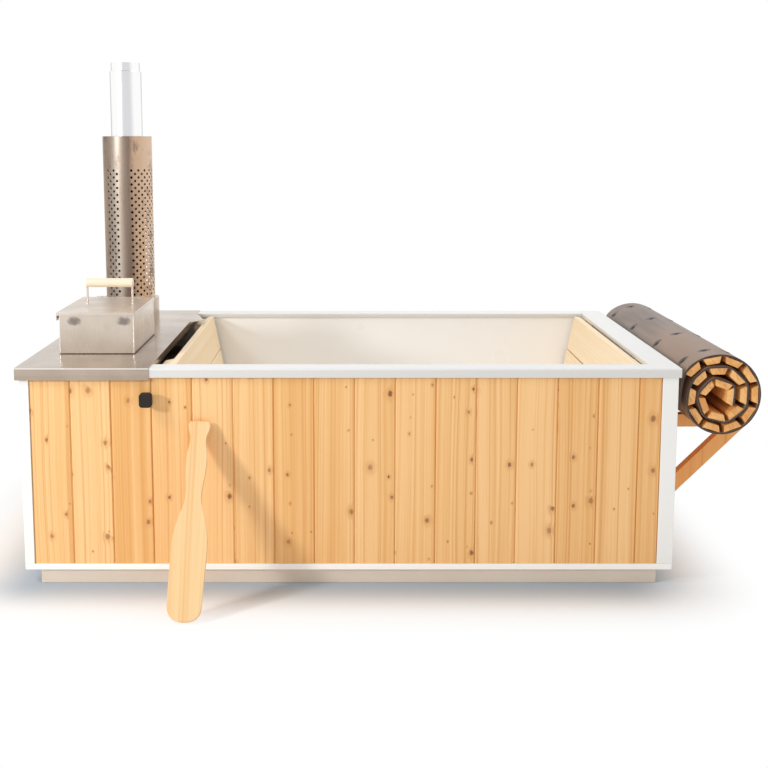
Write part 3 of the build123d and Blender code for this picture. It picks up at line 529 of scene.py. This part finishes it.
plate_steel, plate_place, plate_wipe = brushed("plate_steel", (4.0, 700.0, 900.0), 0.20)
x, y, z = plate_place.axes()
plate_low, plate_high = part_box("stove_cover_plate")
box_low, box_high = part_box("hatch_box")
# Painted light on the plate: painted shade on the skirt below its top, a painted highlight along the top of
# the front fold, and a painted shadow on the top beside the box's right side and over the part to its
# right, fading towards the back.
fold_shade = 1.0 - z.step(plate_high.z - 0.030, plate_high.z - 0.018)
front_fold = 1.0 - y.step(plate_low.y + 0.0005, plate_low.y + 0.0025)
fold_light = z.step(plate_high.z - 0.0050, plate_high.z - 0.0035) * front_fold
on_top = z.step(plate_high.z - 0.007, plate_high.z - 0.001)
near_side = 1.0 - (x - box_high.x).size().step(0.002, 0.030)
box_length = y.step(box_low.y - 0.01, box_low.y + 0.02) * (
    1.0 - y.step(box_high.y - 0.08, box_high.y + 0.03)
)
shadow_beyond_box = x.step(-0.80, -0.68) * (1.0 - y.step(-0.2, 0.55))
painted_box_shadow = (shadow_beyond_box * 0.75 + near_side * box_length) * on_top
plate_tone = plate_wipe.step(0.0, 1.0).mix((0.58, 0.485, 0.40), (0.38, 0.30, 0.235))
painted_shade_tone = (fold_shade * 0.12 + painted_box_shadow * 0.85).mix(plate_tone, (0.25, 0.155, 0.095))
feed(plate_steel, Base_Color=(fold_light * 0.8).mix(painted_shade_tone, (0.92, 0.88, 0.84)))
dress(eased("stove_cover_plate", 0.0009), plate_steel)
dress(eased("cover_gusset", 0.0005), plate_steel)

# The firebox hangs inside the tub: welded steel, with a grate of flat bars and a baffle in front
# of the flue. Heat has left it black and flaky.
sooty, soot_place = new_finish("sooty_steel", Metallic=0.3)
flake = soot_place.noise(45.0, 5.0, 0.65)
feed(
    sooty,
    Base_Color=flake.step(0.35, 0.7).mix((0.035, 0.03, 0.028), (0.11, 0.075, 0.055)),
    Roughness=flake * 0.3 + 0.5,
    Normal=flake.bump(0.4, 0.001),
)
put_on(sooty, "firebox", "firebox_feet", "fire_grate", "smoke_baffle")

# The fuel hatch is a box of the same stainless sheet with welded corners, and a folded lid on two
# small hinges. Two heat stains show on its front, near the top.
box_steel, box_place, box_wipe = brushed("box_steel", (900.0, 700.0, 5.0), 0.26)
stain_half_width = 0.024
stain_half_height = 0.016
stain_z = box_high.z - 0.028
x, y, z = box_place.axes()
ragged = (box_place.noise(90.0, 3.0) - 0.5) * 1.6
on_front = 1.0 - y.step(box_low.y + 0.01, box_low.y + 0.03)
stains = 0.0
for stain_x in (box_low.x + 0.052, box_high.x - 0.034):
    across = (x - stain_x) / stain_half_width
    up = (z - stain_z) / stain_half_height
    stains = (1.0 - (across ** 2.0 + up ** 2.0 + ragged).step(0.1, 1.5)) * on_front + stains
box_tone = box_wipe.step(0.0, 1.0).mix((0.74, 0.655, 0.57), (0.52, 0.435, 0.355))
feed(box_steel, Base_Color=(stains * 0.75).mix(box_tone, (0.16, 0.13, 0.12)))
dress(eased("hatch_box", 0.0009), box_steel)


# The box's corners carry bright rods that are painted highlights along its edges, and a dark bead
# round its foot is a painted shadow in the gap between box and plate.
def joined(pieces):
    """One piece of several, with its place in its mesh and the points that meet merged."""
    bpy.ops.object.select_all(action="DESELECT")
    for piece in pieces:
        piece.select_set(True)
    bpy.context.view_layer.objects.active = pieces[0]
    bpy.ops.object.join()
    bpy.ops.object.transform_apply()
    bpy.ops.object.mode_set(mode="EDIT")
    bpy.ops.mesh.select_all(action="SELECT")
    bpy.ops.mesh.remove_doubles(threshold=0.00002)
    bpy.ops.object.mode_set(mode="OBJECT")
    return pieces[0]


def walled(piece, thickness, offset):
    """Gives a sheet its thickness: offset is -1, 0 or 1 for inside, both sides or outside."""
    wall = piece.modifiers.new("wall", "SOLIDIFY")
    wall.thickness = thickness
    wall.offset = offset
    bpy.ops.object.modifier_apply(modifier="wall")


def rounded(piece, width, angle):
    """Rounds the edges that are sharper than an angle."""
    edge = piece.modifiers.new("edge", "BEVEL")
    edge.width = width
    edge.segments = 2
    edge.angle_limit = radians(angle)
    bpy.ops.object.modifier_apply(modifier="edge")


box_middle = (box_low + box_high) / 2
highlight_rod_radius = 0.0021
highlight_rod_inset = 0.0008
highlight_rod_length = box_high.z - box_low.z - 0.012
highlight_rods = []
for x in (box_low.x + highlight_rod_inset, box_high.x - highlight_rod_inset):
    for y in (box_low.y + highlight_rod_inset, box_high.y - highlight_rod_inset):
        bpy.ops.object.select_all(action="DESELECT")
        bpy.ops.mesh.primitive_cylinder_add(
            vertices=10, radius=highlight_rod_radius, depth=highlight_rod_length, location=(x, y, box_middle.z - 0.005)
        )
        highlight_rods.append(bpy.context.active_object)
corner_highlight_rods = joined(highlight_rods)
corner_highlight_rods.name = "corner_highlight_rods"
bpy.ops.object.shade_smooth_by_angle(angle=radians(50))
# The corner rods are painted highlights, in a near-white steel.
highlight_steel, _, highlight_wipe = brushed("highlight_steel", (400.0, 400.0, 90.0), 0.20, 0.6)
highlight_tone = highlight_wipe.step(0.0, 1.0).mix((0.97, 0.94, 0.90), (0.80, 0.75, 0.69))
feed(highlight_steel, Base_Color=highlight_tone)
dress(corner_highlight_rods, highlight_steel)
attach(corner_highlight_rods, "tub")

bead_reach = 0.0025
bead_width = 0.0045
bead_height = 0.0026
bead_edge = 0.0011
bead_span = box_high - box_low + Vector((2 * bead_reach, 2 * bead_reach, 0))
bpy.ops.object.select_all(action="DESELECT")
bpy.ops.mesh.primitive_plane_add(size=1, location=(box_middle.x, box_middle.y, box_low.z + 0.0001))
gap_shadow_bead = bpy.context.active_object
gap_shadow_bead.name = "gap_shadow_bead"
bpy.ops.object.mode_set(mode="EDIT")
bpy.ops.transform.resize(value=(bead_span.x, bead_span.y, 1))
bpy.ops.mesh.inset(thickness=bead_width)
bpy.ops.mesh.delete(type="FACE")
bpy.ops.mesh.select_all(action="SELECT")
bpy.ops.mesh.normals_make_consistent(inside=False)
bpy.ops.object.mode_set(mode="OBJECT")
bpy.ops.object.transform_apply()
walled(gap_shadow_bead, bead_height, 1)
rounded(gap_shadow_bead, bead_edge, 30)
bpy.ops.object.shade_smooth_by_angle(angle=radians(50))
# The bead is near-black, a painted shadow in the gap at the box's foot.
gap_shadow_paint, bead_place = new_finish("gap_shadow_paint")
bead_grain = bead_place.noise(300.0, 3.0)
feed(
    gap_shadow_paint,
    Base_Color=bead_grain.mix((0.05, 0.035, 0.025), (0.11, 0.08, 0.06)),
    Roughness=bead_grain * 0.3 + 0.45,
    Normal=bead_grain.bump(0.4, 0.0006),
)
dress(gap_shadow_bead, gap_shadow_paint)
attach(gap_shadow_bead, "tub")

# The lid is folded from the same sheet, with softer brushing. Smoke has darkened its underside,
# within the folds.
lid_steel, lid_place, lid_wipe = brushed("lid_steel", (5.0, 700.0, 900.0), 0.34, 0.60)
lid_low, lid_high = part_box("hatch_lid")
x, y, z = lid_place.axes()
beneath = 1.0 - z.step(lid_high.z - 0.0013, lid_high.z - 0.0006)
for across, low, high in ((x, lid_low.x, lid_high.x), (y, lid_low.y, lid_high.y)):
    half_width = (high - low) / 2
    past_middle = (across - (low + high) / 2).size()
    beneath = beneath * (1.0 - past_middle.step(half_width - 0.005, half_width - 0.003))
smoke = lid_place.noise(14.0, 4.0, 0.6)
lid_tone = lid_wipe.step(0.0, 1.0).mix((0.76, 0.68, 0.60), (0.50, 0.425, 0.355))
feed(lid_steel, Base_Color=(beneath * (smoke * 0.5 + 0.5)).mix(lid_tone, (0.085, 0.062, 0.048)))
dress(eased("hatch_lid", 0.0006, "hatch_lid"), lid_steel)
put_on(lid_steel, "lid_hinge_leaves", "lid_hinge_pins", "lid_hinge_straps", "lid_handle_rods")

# The lid's handle is a turned ash grip on two upright steel rods. The grip is left bare, with its
# grain along it.
grip_wood = wood(
    "turned_ash",
    ((0.92, 0.80, 0.62), (0.84, 0.70, 0.51), (0.72, 0.54, 0.34), (0.30, 0.16, 0.07)),
    lambda place: (place.axes()[2], place.axes()[2] * 0.0, place.axes()[1]),
    along_axis(0),
    bands=260.0,
    knots=0.0,
    polish=0.5,
)
put_on(grip_wood, "lid_handle_grip")

# The flue is polished pipe in two lengths, narrowed at its top end, in a flat brushed collar.
# Painted reflections run up it: soft grey bands, one of them towards the camera, and dark edges at
# its sides as the camera sees them. Inside the guard it is darker, most on its right, as painted shade.
pipe_steel, pipe_place = brushed("pipe_steel", (9.0, 9.0, 2.0), 0.12, 0.4, 0.2)[:2]
towards_camera = -1.405
pipe_low, pipe_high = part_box("flue_pipe_upper")
pipe_middle = (pipe_low + pipe_high) / 2
guard_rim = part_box("flue_guard")[1].z
x, y, z = pipe_place.axes()
around = y.sum("ARCTAN2", y - pipe_middle.y, x - pipe_middle.x) - towards_camera
sway = (pipe_place.vector(x * 6.0, y * 6.0, z * 3.0).noise(1.0, 2.0) - 0.5) * 1.2
# Painted reflection: grey bands round the pipe, phased to face the camera, and dark edges at its sides.
bands = around.sum("COSINE", around * 4.0 + sway)
sides = around.sum("COSINE", around * 2.0 + sway * 0.2) * -1.0
soft = bands.step(-0.6, 0.9).mix((0.97, 0.97, 0.965), (0.70, 0.705, 0.715))
painted_reflection_tone = (sides.step(0.70, 0.95) * 0.75).mix(soft, (0.30, 0.29, 0.285))
# Inside the guard the pipe is painted darker, most on its right side, as painted shade.
turned = ((x - pipe_middle.x) / 0.065).step(-0.35, 0.2)
painted_guard_shade = (1.0 - z.step(guard_rim - 0.09, guard_rim + 0.01)) * (turned * 0.8 + 0.15)
feed(pipe_steel, Base_Color=painted_guard_shade.mix(painted_reflection_tone, (0.10, 0.075, 0.055)))
put_on(pipe_steel, "flue_pipe_lower", "flue_pipe_upper")
put_on(plate_steel, "flue_collar", "guard_standoffs")

# The guard round the pipe is one rolled sheet of perforated stainless: staggered round holes, two
# plain strips where it is seamed and a plain band at its top. Heat has tinted it grey and straw,
# and painted reflection grades that tint across it from left to right.
guard_low, guard_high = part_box("flue_guard")
guard_radius = (guard_high.x - guard_low.x) / 2
guard_centre = (guard_low + guard_high) / 2
guard_sheet = 0.0015
hole_radius = 0.0055
row_pitch = 0.0286
row_count = 19
column_count = 42
column_pitch = 2 * pi * guard_radius / column_count
plain_foot = 0.004


def hole_cells(x, y, rows):
    """A column of holes: each is a ring of eight points joined to the border of its own cell."""
    bpy.ops.object.select_all(action="DESELECT")
    bpy.ops.mesh.primitive_circle_add(vertices=8, radius=hole_radius, location=(x, y, 0))
    cell = bpy.context.active_object
    bpy.ops.object.mode_set(mode="EDIT")
    bpy.ops.mesh.select_all(action="SELECT")
    bpy.ops.mesh.extrude_edges_move()
    bpy.ops.transform.resize(value=(2, 2, 2))
    bpy.ops.object.mode_set(mode="OBJECT")
    for point in cell.data.vertices:
        if point.select:
            point.co.x = round(point.co.x / (2 * hole_radius)) * column_pitch / 2
            point.co.y = round(point.co.y / (2 * hole_radius)) * row_pitch / 2
    stack(cell, "rows", rows, (0, 1, 0))
    return cell


def stack(piece, name, count, step):
    """Repeats a piece edge to edge and merges where the copies meet."""
    bpy.context.view_layer.objects.active = piece
    rows = piece.modifiers.new(name, "ARRAY")
    rows.count = count
    rows.relative_offset_displace = step
    rows.use_merge_vertices = True
    rows.merge_threshold = 0.00002
    bpy.ops.object.modifier_apply(modifier=name)


def plain_cells(x, y, across, up, parts_across, parts_up):
    """A plain stretch of the sheet, divided so that its border meets the holes' cells."""
    bpy.ops.object.select_all(action="DESELECT")
    bpy.ops.mesh.primitive_grid_add(
        x_subdivisions=parts_across, y_subdivisions=parts_up, size=1, location=(x, y, 0)
    )
    bpy.ops.object.mode_set(mode="EDIT")
    bpy.ops.transform.resize(value=(across, up, 1))
    bpy.ops.object.mode_set(mode="OBJECT")
    return bpy.context.active_object


def perforated(start, pairs):
    """Pairs of columns side by side, the second of each pair half a row higher."""
    first_x = (start + 0.5) * column_pitch
    second_x = first_x + column_pitch
    high = row_pitch * row_count
    band = joined([
        hole_cells(first_x, row_pitch / 2, row_count),
        hole_cells(second_x, row_pitch, row_count - 1),
        plain_cells(second_x, row_pitch / 4, column_pitch, row_pitch / 2, 2, 1),
        plain_cells(second_x, high - row_pitch / 4, column_pitch, row_pitch / 2, 2, 1),
    ])
    stack(band, "pairs", pairs, (1, 0, 0))
    return band


holes_high = row_pitch * row_count
sheets = [perforated(1.5, 15), perforated(36.5, 2)]
for start, count in ((-1.5, 3), (31.5, 5)):
    middle = (start + count / 2) * column_pitch
    width = count * column_pitch
    sheets.append(plain_cells(middle, holes_high / 2, width, holes_high, count, 2 * row_count))
guard = joined(sheets)
guard.name = "perforated_guard"
bpy.ops.object.mode_set(mode="EDIT")
for edge_y, reach in ((holes_high, guard_high.z - guard_low.z - plain_foot - holes_high), (0, -plain_foot)):
    bpy.ops.mesh.select_all(action="DESELECT")
    bpy.ops.object.mode_set(mode="OBJECT")
    for edge in guard.data.edges:
        ends = [guard.data.vertices[i].co.y for i in edge.vertices]
        edge.select = all(abs(y - edge_y) < 0.00005 for y in ends)
    bpy.ops.object.mode_set(mode="EDIT")
    bpy.ops.mesh.select_mode(type="EDGE")
    bpy.ops.mesh.extrude_edges_move(TRANSFORM_OT_translate={"value": (0, reach, 0)})
bpy.ops.object.mode_set(mode="OBJECT")
for point in guard.data.vertices:
    turn = point.co.x / guard_radius - pi / 2
    point.co = (
        guard_centre.x + guard_radius * cos(turn),
        guard_centre.y + guard_radius * sin(turn),
        guard_low.z + plain_foot + point.co.y,
    )
bpy.ops.object.mode_set(mode="EDIT")
bpy.ops.mesh.select_mode(type="VERT")
bpy.ops.mesh.select_all(action="SELECT")
bpy.ops.mesh.remove_doubles(threshold=0.00005)
bpy.ops.mesh.normals_make_consistent(inside=False)
bpy.ops.object.mode_set(mode="OBJECT")
walled(guard, guard_sheet, -1)
bpy.ops.object.shade_smooth_by_angle(angle=radians(30))

guard_steel, guard_place, guard_wipe = brushed("guard_steel", (60.0, 60.0, 9.0), 0.37, 1.0)
x, y, z = guard_place.axes()
# The tint is laid across the guard from its left side to its right, as painted reflection over the heat
# tint.
side = (x - guard_centre.x) / guard_radius
runs = guard_place.vector(x * 26.0, y * 26.0, z * 3.0).noise(1.0, 4.0, 0.6)
shifted = side * 0.5 + 0.5 + (runs - 0.5) * 0.25
heat_tint_and_painted_reflection = shifted.node(
    "ShaderNodeValToRGB",
    {
        "stops": (
            (0.0, (0.36, 0.25, 0.17)),
            (0.14, (0.30, 0.225, 0.17)),
            (0.30, (0.34, 0.295, 0.25)),
            (0.48, (0.26, 0.20, 0.16)),
            (0.60, (0.24, 0.17, 0.13)),
            (0.74, (0.58, 0.40, 0.27)),
            (1.0, (0.70, 0.52, 0.38)),
        )
    },
    {"Fac": shifted},
)
blotches = guard_place.vector(x * 60.0, y * 60.0, z * 28.0).noise(1.0, 3.0, 0.6)
stain = ((runs - 0.5) * 2.4 + (blotches - 0.5) * 2.6 + (guard_wipe - 0.4) * 0.9).step(0.0, 1.0)
feed(guard_steel, Base_Color=(stain * 0.75).mix(heat_tint_and_painted_reflection, (0.17, 0.12, 0.09)))
dress(guard, guard_steel)
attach(guard, "tub")
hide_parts("flue_guard")

# The two backrests lean at the ends of the bath: planed spruce boards that run across it, each
# with its own tone, on upright cleats.
lean = radians(11.5)
backrest_top = 0.730
bench_pitch = 0.149
bench_tones = ((0.99, 0.82, 0.58), (0.95, 0.73, 0.46), (0.88, 0.62, 0.35), (0.36, 0.18, 0.07))


def down_backrest(top_x, facing):
    def measure(place):
        x, y, z = place.axes()
        down = (x - top_x) * (facing * sin(lean)) + (backrest_top - z) * cos(lean)
        number = (down / bench_pitch).floor()
        return down - number * bench_pitch, number + facing * 50.0, (x - top_x) * cos(lean)

    return measure


for name, top_x, facing in (("left", -0.589, 1), ("right", 0.975, -1)):
    bench = wood(
        f"planed_spruce_{name}", bench_tones, down_backrest(top_x, facing), along_axis(1), knots=0.06
    )
    put_on(bench, f"backrest_{name}_boards")
    cleat = wood(
        f"planed_cleat_{name}", bench_tones, across_boards(1, -1.1, 0.22), along_axis(2), knots=0.06
    )
    put_on(cleat, f"backrest_{name}_cleats")

# The strap knob on the front, read as the one that holds the cover's end, is moulded black
# plastic with a fine grain.
knob_plastic, knob_place = new_finish("knob_plastic", Specular_IOR_Level=0.25)
knob_grain = knob_place.noise(1500.0, 2.0)
feed(
    knob_plastic,
    Base_Color=knob_grain.mix((0.012, 0.010, 0.008), (0.024, 0.019, 0.015)),
    Roughness=knob_grain * 0.15 + 0.50,
    Normal=knob_grain.bump(0.25, 0.0003),
)
put_on(knob_plastic, "strap_knob")

# The two brackets under the rolled cover are oiled larch, redder than the boards: an upright on
# the cladding, an arm that the roll lies on and a strut below it.
bracket_tones = ((0.97, 0.47, 0.14), (0.84, 0.34, 0.08), (0.58, 0.19, 0.04), (0.14, 0.04, 0.01))
larch = wood("oiled_larch", bracket_tones, across_boards(1, -1.0, 0.5), along_axis(0), knots=0.1)
larch_up = wood("oiled_larch_up", bracket_tones, across_boards(1, -1.0, 0.5), along_axis(2), knots=0.1)
for name in ("near", "far"):
    put_on(larch, f"bracket_{name}_arm", f"bracket_{name}_strut")
    put_on(larch_up, f"bracket_{name}_upright")

# The rolled cover is one thick brown-grey coated sheet, wound round its own slats. Its route is a
# spiral with one straight stretch for each slat, bent softly in the outer turn and tightly inside.
slat_count = 20
slat_pitch = 0.0825
slat_width = 0.062
slat_inner_width = 0.042
slat_thickness = 0.022
roll_length = 1.408
sheet_thickness = 0.006
sheet_edge = 0.0010
start_radius = 0.155
start_angle = radians(150)
turn_step = 0.038
tightest_bend = radians(76)
soft_slats = 9
tail_length = 0.12
tail_lean = 0.001
straight_share = 0.36
roll_seat = 0.0003
cover_low, cover_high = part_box("roll_sheet")
arm_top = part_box("bracket_near_arm")[1].z
angle = start_angle
radius = start_radius
corners = [Vector((radius * cos(angle), radius * sin(angle)))]
heading = None
bends = [0.0]
for i in range(slat_count):
    step = 0
    for repeat in range(8):
        mean_radius = radius - turn_step * step / (4 * pi)
        step = 2 * asin(slat_pitch / 2 / mean_radius)
    next_radius = radius - turn_step * step / (2 * pi)
    aim = Vector((next_radius * cos(angle - step), next_radius * sin(angle - step))) - corners[-1]
    turn = atan2(aim.y, aim.x)
    if heading is not None:
        bends.append(min((heading - turn) % (2 * pi), tightest_bend))
        turn = heading - bends[-1]
    heading = turn
    corners.append(corners[-1] + Vector((cos(turn), sin(turn))) * slat_pitch)
    radius = corners[-1].length
    angle = atan2(corners[-1].y, corners[-1].x)
bends.append(bends[-1])

route = [corners[0] - Vector((tail_lean, tail_length))]
stretches = []
for i, (start, end) in enumerate(zip(corners, corners[1:])):
    along = (end - start).normalized()
    middle = (start + end) / 2
    stretches.append((middle, along, Vector((along.y, -along.x))))
    if i <= soft_slats:
        route.append(start)
    else:
        route += [middle + along * (share * slat_pitch) for share in (-straight_share, straight_share)]

bpy.ops.curve.primitive_nurbs_path_add()
cover_sheet = bpy.context.active_object
cover_sheet.name = "cover_sheet"
cover_sheet.data.splines.clear()
line = cover_sheet.data.splines.new("NURBS")
line.points.add(len(route) - 1)
for place, spot in zip(line.points, route):
    place.co = (spot.x, -roll_length / 2, spot.y, 1)
line.order_u = 3
line.use_endpoint_u = True
cover_sheet.data.resolution_u = 10
bpy.ops.object.convert(target="MESH")
skin = cover_sheet.data
half_sheet = sheet_thickness / 2
side_to_side = [point.co.x for point in skin.vertices]
lowest = min(point.co.z for point in skin.vertices)
roll_x = (cover_low.x + cover_high.x - min(side_to_side) - max(side_to_side)) / 2
roll_z = arm_top + roll_seat + half_sheet - lowest
off_slat = skin.attributes.new("off_slat", "FLOAT", "POINT")
for i, point in enumerate(skin.vertices):
    spot = Vector((point.co.x, point.co.z))
    middle, along, inward = min(stretches, key=lambda stretch: (stretch[0] - spot).length)
    off_slat.data[i].value = (spot - middle).dot(along) ** 2
    point.co = (point.co.x + roll_x, point.co.y, point.co.z + roll_z)
bpy.ops.object.mode_set(mode="EDIT")
bpy.ops.mesh.select_all(action="SELECT")
bpy.ops.mesh.extrude_edges_move(TRANSFORM_OT_translate={"value": (0, roll_length, 0)})
bpy.ops.object.mode_set(mode="OBJECT")
walled(cover_sheet, sheet_thickness, 0)
rounded(cover_sheet, sheet_edge, 50)
bpy.ops.object.shade_smooth_by_angle(angle=radians(40))

screw_rows = (0.21, 0.60)
sheet_skin, sheet_place = new_finish("cover_sheet")
x, y, z = sheet_place.axes()
from_row = (y.size() - screw_rows[0]).size()
from_end = (y.size() - screw_rows[1]).size()
from_screw = from_row.sum("MINIMUM", from_row, from_end)
across_slat = sheet_place.node("ShaderNodeAttribute", {"attribute_name": "off_slat"}, {}, 2)
# Round each screw the sheet dips in a bumped dimple, and its colour there is darkened as painted shade.
dimple_and_shade = 1.0 - (across_slat + from_screw * from_screw).step(0.00012, 0.00080)
end_y = roll_length / 2
cut_end = y.size().step(end_y - 0.0008, end_y - 0.0002)
skin_grain = sheet_place.noise(240.0, 4.0, 0.6)
patina = sheet_place.noise(6.0, 3.0)
streaks = sheet_place.vector(x * 40.0, y * 2.0, z * 40.0).noise(1.0, 3.0)
# The near end of the sheet is paler, a painted sheen; the patina and streaks are its own.
painted_sheen = 1.0 - (y + patina * 0.5).step(-0.70, 0.60)
patina_and_sheen = (patina * 0.8 + streaks * 0.6 + painted_sheen * 0.9 - 0.3).step(0.2, 0.9)
cover_tone = patina_and_sheen.mix((0.100, 0.060, 0.040), (0.285, 0.190, 0.135))
painted_pit_shade_tone = (dimple_and_shade * 0.9).mix(cover_tone, (0.020, 0.013, 0.010))
feed(
    sheet_skin,
    Base_Color=cut_end.mix(painted_pit_shade_tone, (0.040, 0.030, 0.026)),
    Roughness=skin_grain * 0.2 + patina * 0.15 + 0.24,
    Normal=(skin_grain * 0.05 - dimple_and_shade).bump(0.9, 0.003),
)
dress(cover_sheet, sheet_skin)
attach(cover_sheet, "rolled_cover")
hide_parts("roll_sheet")

# The slats are sawn laths with splayed sides, laid on the sheet's inner face. Where the sheet bends
# softly it touches their outer corners, and further in they lie flat on it.
soft_gap_share = 0.155
flat_gap = 0.0004
trim_step = 0.0015
laths = []
for i, (middle, along, inward) in enumerate(stretches):
    soft_gap = soft_gap_share * slat_pitch / 2 * sin(max(bends[i], bends[i + 1]))
    gap = half_sheet + (soft_gap if i <= soft_slats else flat_gap)
    half_length = roll_length / 2 - trim_step * ((i * 7) % 3)
    bpy.ops.object.select_all(action="DESELECT")
    bpy.ops.mesh.primitive_cube_add(size=2)
    lath = bpy.context.active_object
    number = lath.data.attributes.new("slat_number", "FLOAT", "POINT")
    for k, point in enumerate(lath.data.vertices):
        deep = point.co.z > 0
        sideways = (slat_inner_width if deep else slat_width) / 2 * point.co.x
        spot = middle + along * sideways + inward * (gap + (slat_thickness if deep else 0))
        point.co = (spot.x + roll_x, half_length * point.co.y, spot.y + roll_z)
        number.data[k].value = i + 0.5
    laths.append(lath)
slats = joined(laths)
slats.name = "cover_slats"
bpy.ops.object.mode_set(mode="EDIT")
bpy.ops.mesh.select_all(action="SELECT")
bpy.ops.mesh.normals_make_consistent(inside=False)
bpy.ops.mesh.bevel(offset=0.0012, segments=2)
bpy.ops.object.mode_set(mode="OBJECT")
bpy.ops.object.shade_smooth_by_angle(angle=radians(35))


def across_slats(place):
    number = place.node("ShaderNodeAttribute", {"attribute_name": "slat_number"}, {}, 2)
    x, y, z = place.axes()
    return x + z * 0.7, number, z - x * 0.7


slat_wood = wood(
    "slat_wood",
    ((0.95, 0.53, 0.19), (0.76, 0.34, 0.09), (0.50, 0.19, 0.04), (0.12, 0.04, 0.01)),
    across_slats,
    along_axis(1),
    bands=220.0,
    knots=0.0,
    polish=0.6,
    contrast=1.5,
)
dress(slats, slat_wood)
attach(slats, "rolled_cover")
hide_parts("roll_slats")

# Each slat is fixed by four dark screws, pulled into dimples in the sheet. Those of the outer turn
# show, each a cupped washer round a low domed head.
washer_radius = 0.0068
washer_thickness = 0.0012
bpy.ops.object.select_all(action="DESELECT")
bpy.ops.mesh.primitive_cylinder_add(
    vertices=20, radius=washer_radius, depth=washer_thickness, location=(0, 0, 0.0004)
)
washer = bpy.context.active_object
for face in washer.data.polygons:
    face.select = face.normal.z > 0.9
bpy.ops.object.mode_set(mode="EDIT")
bpy.ops.mesh.select_mode(type="FACE")
for inwards, upwards in ((0.0010, 0.0003), (0.0015, -0.0008), (0.0003, 0.0010), (0.0014, 0.0005)):
    bpy.ops.mesh.inset(thickness=inwards, depth=upwards)
bpy.ops.object.mode_set(mode="OBJECT")
screws = []
for middle, along, inward in stretches[:soft_slats]:
    seat = middle - inward * half_sheet
    for y in (-screw_rows[1], -screw_rows[0], screw_rows[0], screw_rows[1]):
        bpy.ops.object.select_all(action="DESELECT")
        bpy.context.view_layer.objects.active = washer
        washer.select_set(True)
        bpy.ops.object.duplicate()
        screw = bpy.context.active_object
        screw.rotation_euler = (0, pi / 2 - atan2(-inward.y, -inward.x), 0)
        screw.location = (seat.x + roll_x, y, seat.y + roll_z)
        screws.append(screw)
bpy.data.objects.remove(washer)
cover_screws = joined(screws)
cover_screws.name = "cover_screws"
bpy.ops.object.shade_smooth_by_angle(angle=radians(30))
screw_steel, screw_place = new_finish("screw_steel", Metallic=0.8)
wear = screw_place.noise(500.0, 3.0)
screw_tone = wear.mix((0.035, 0.028, 0.024), (0.10, 0.085, 0.075))
feed(screw_steel, Base_Color=screw_tone, Roughness=wear * 0.3 + 0.35)
dress(cover_screws, screw_steel)
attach(cover_screws, "rolled_cover")

# The drain goes out near the floor at the cover's end: a brass tail and ball valve, a little
# tarnished, with a dipped red lever.
brass, brass_place = new_finish("valve_brass", Metallic=1.0)
tarnish = brass_place.noise(30.0, 4.0)
feed(
    brass,
    Base_Color=tarnish.mix((0.72, 0.55, 0.27), (0.55, 0.38, 0.16)),
    Roughness=tarnish * 0.25 + 0.22,
)
put_on(brass, "drain_tail", "valve_body", "valve_ball_and_stem")
dipped, dipped_place = new_finish("lever_dip")
drip = dipped_place.noise(200.0, 2.0)
feed(dipped, Base_Color=drip.mix((0.50, 0.05, 0.03), (0.42, 0.035, 0.02)), Roughness=drip * 0.1 + 0.35)
put_on(dipped, "valve_lever")


# The paddle for stirring the water is one board of clear pine, rounded all round, that leans on the
# cladding. Its grain runs along it, and each metre of it goes this far back and up.
paddle_back = 0.545
paddle_up = 0.838


def across_paddle(place):
    x, y, z = place.axes()
    return x, 2.0, y * paddle_up - z * paddle_back


def along_paddle(place):
    x, y, z = place.axes()
    return y * paddle_back + z * paddle_up


paddle_wood = wood(
    "paddle_pine",
    ((0.93, 0.67, 0.36), (0.88, 0.56, 0.26), (0.78, 0.44, 0.17), (0.35, 0.14, 0.04)),
    across_paddle,
    along_paddle,
    bands=110.0,
    knots=0.0,
    polish=0.45,
)
dress(eased("paddle", 0.006, "paddle", 3), paddle_wood)

low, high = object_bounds()
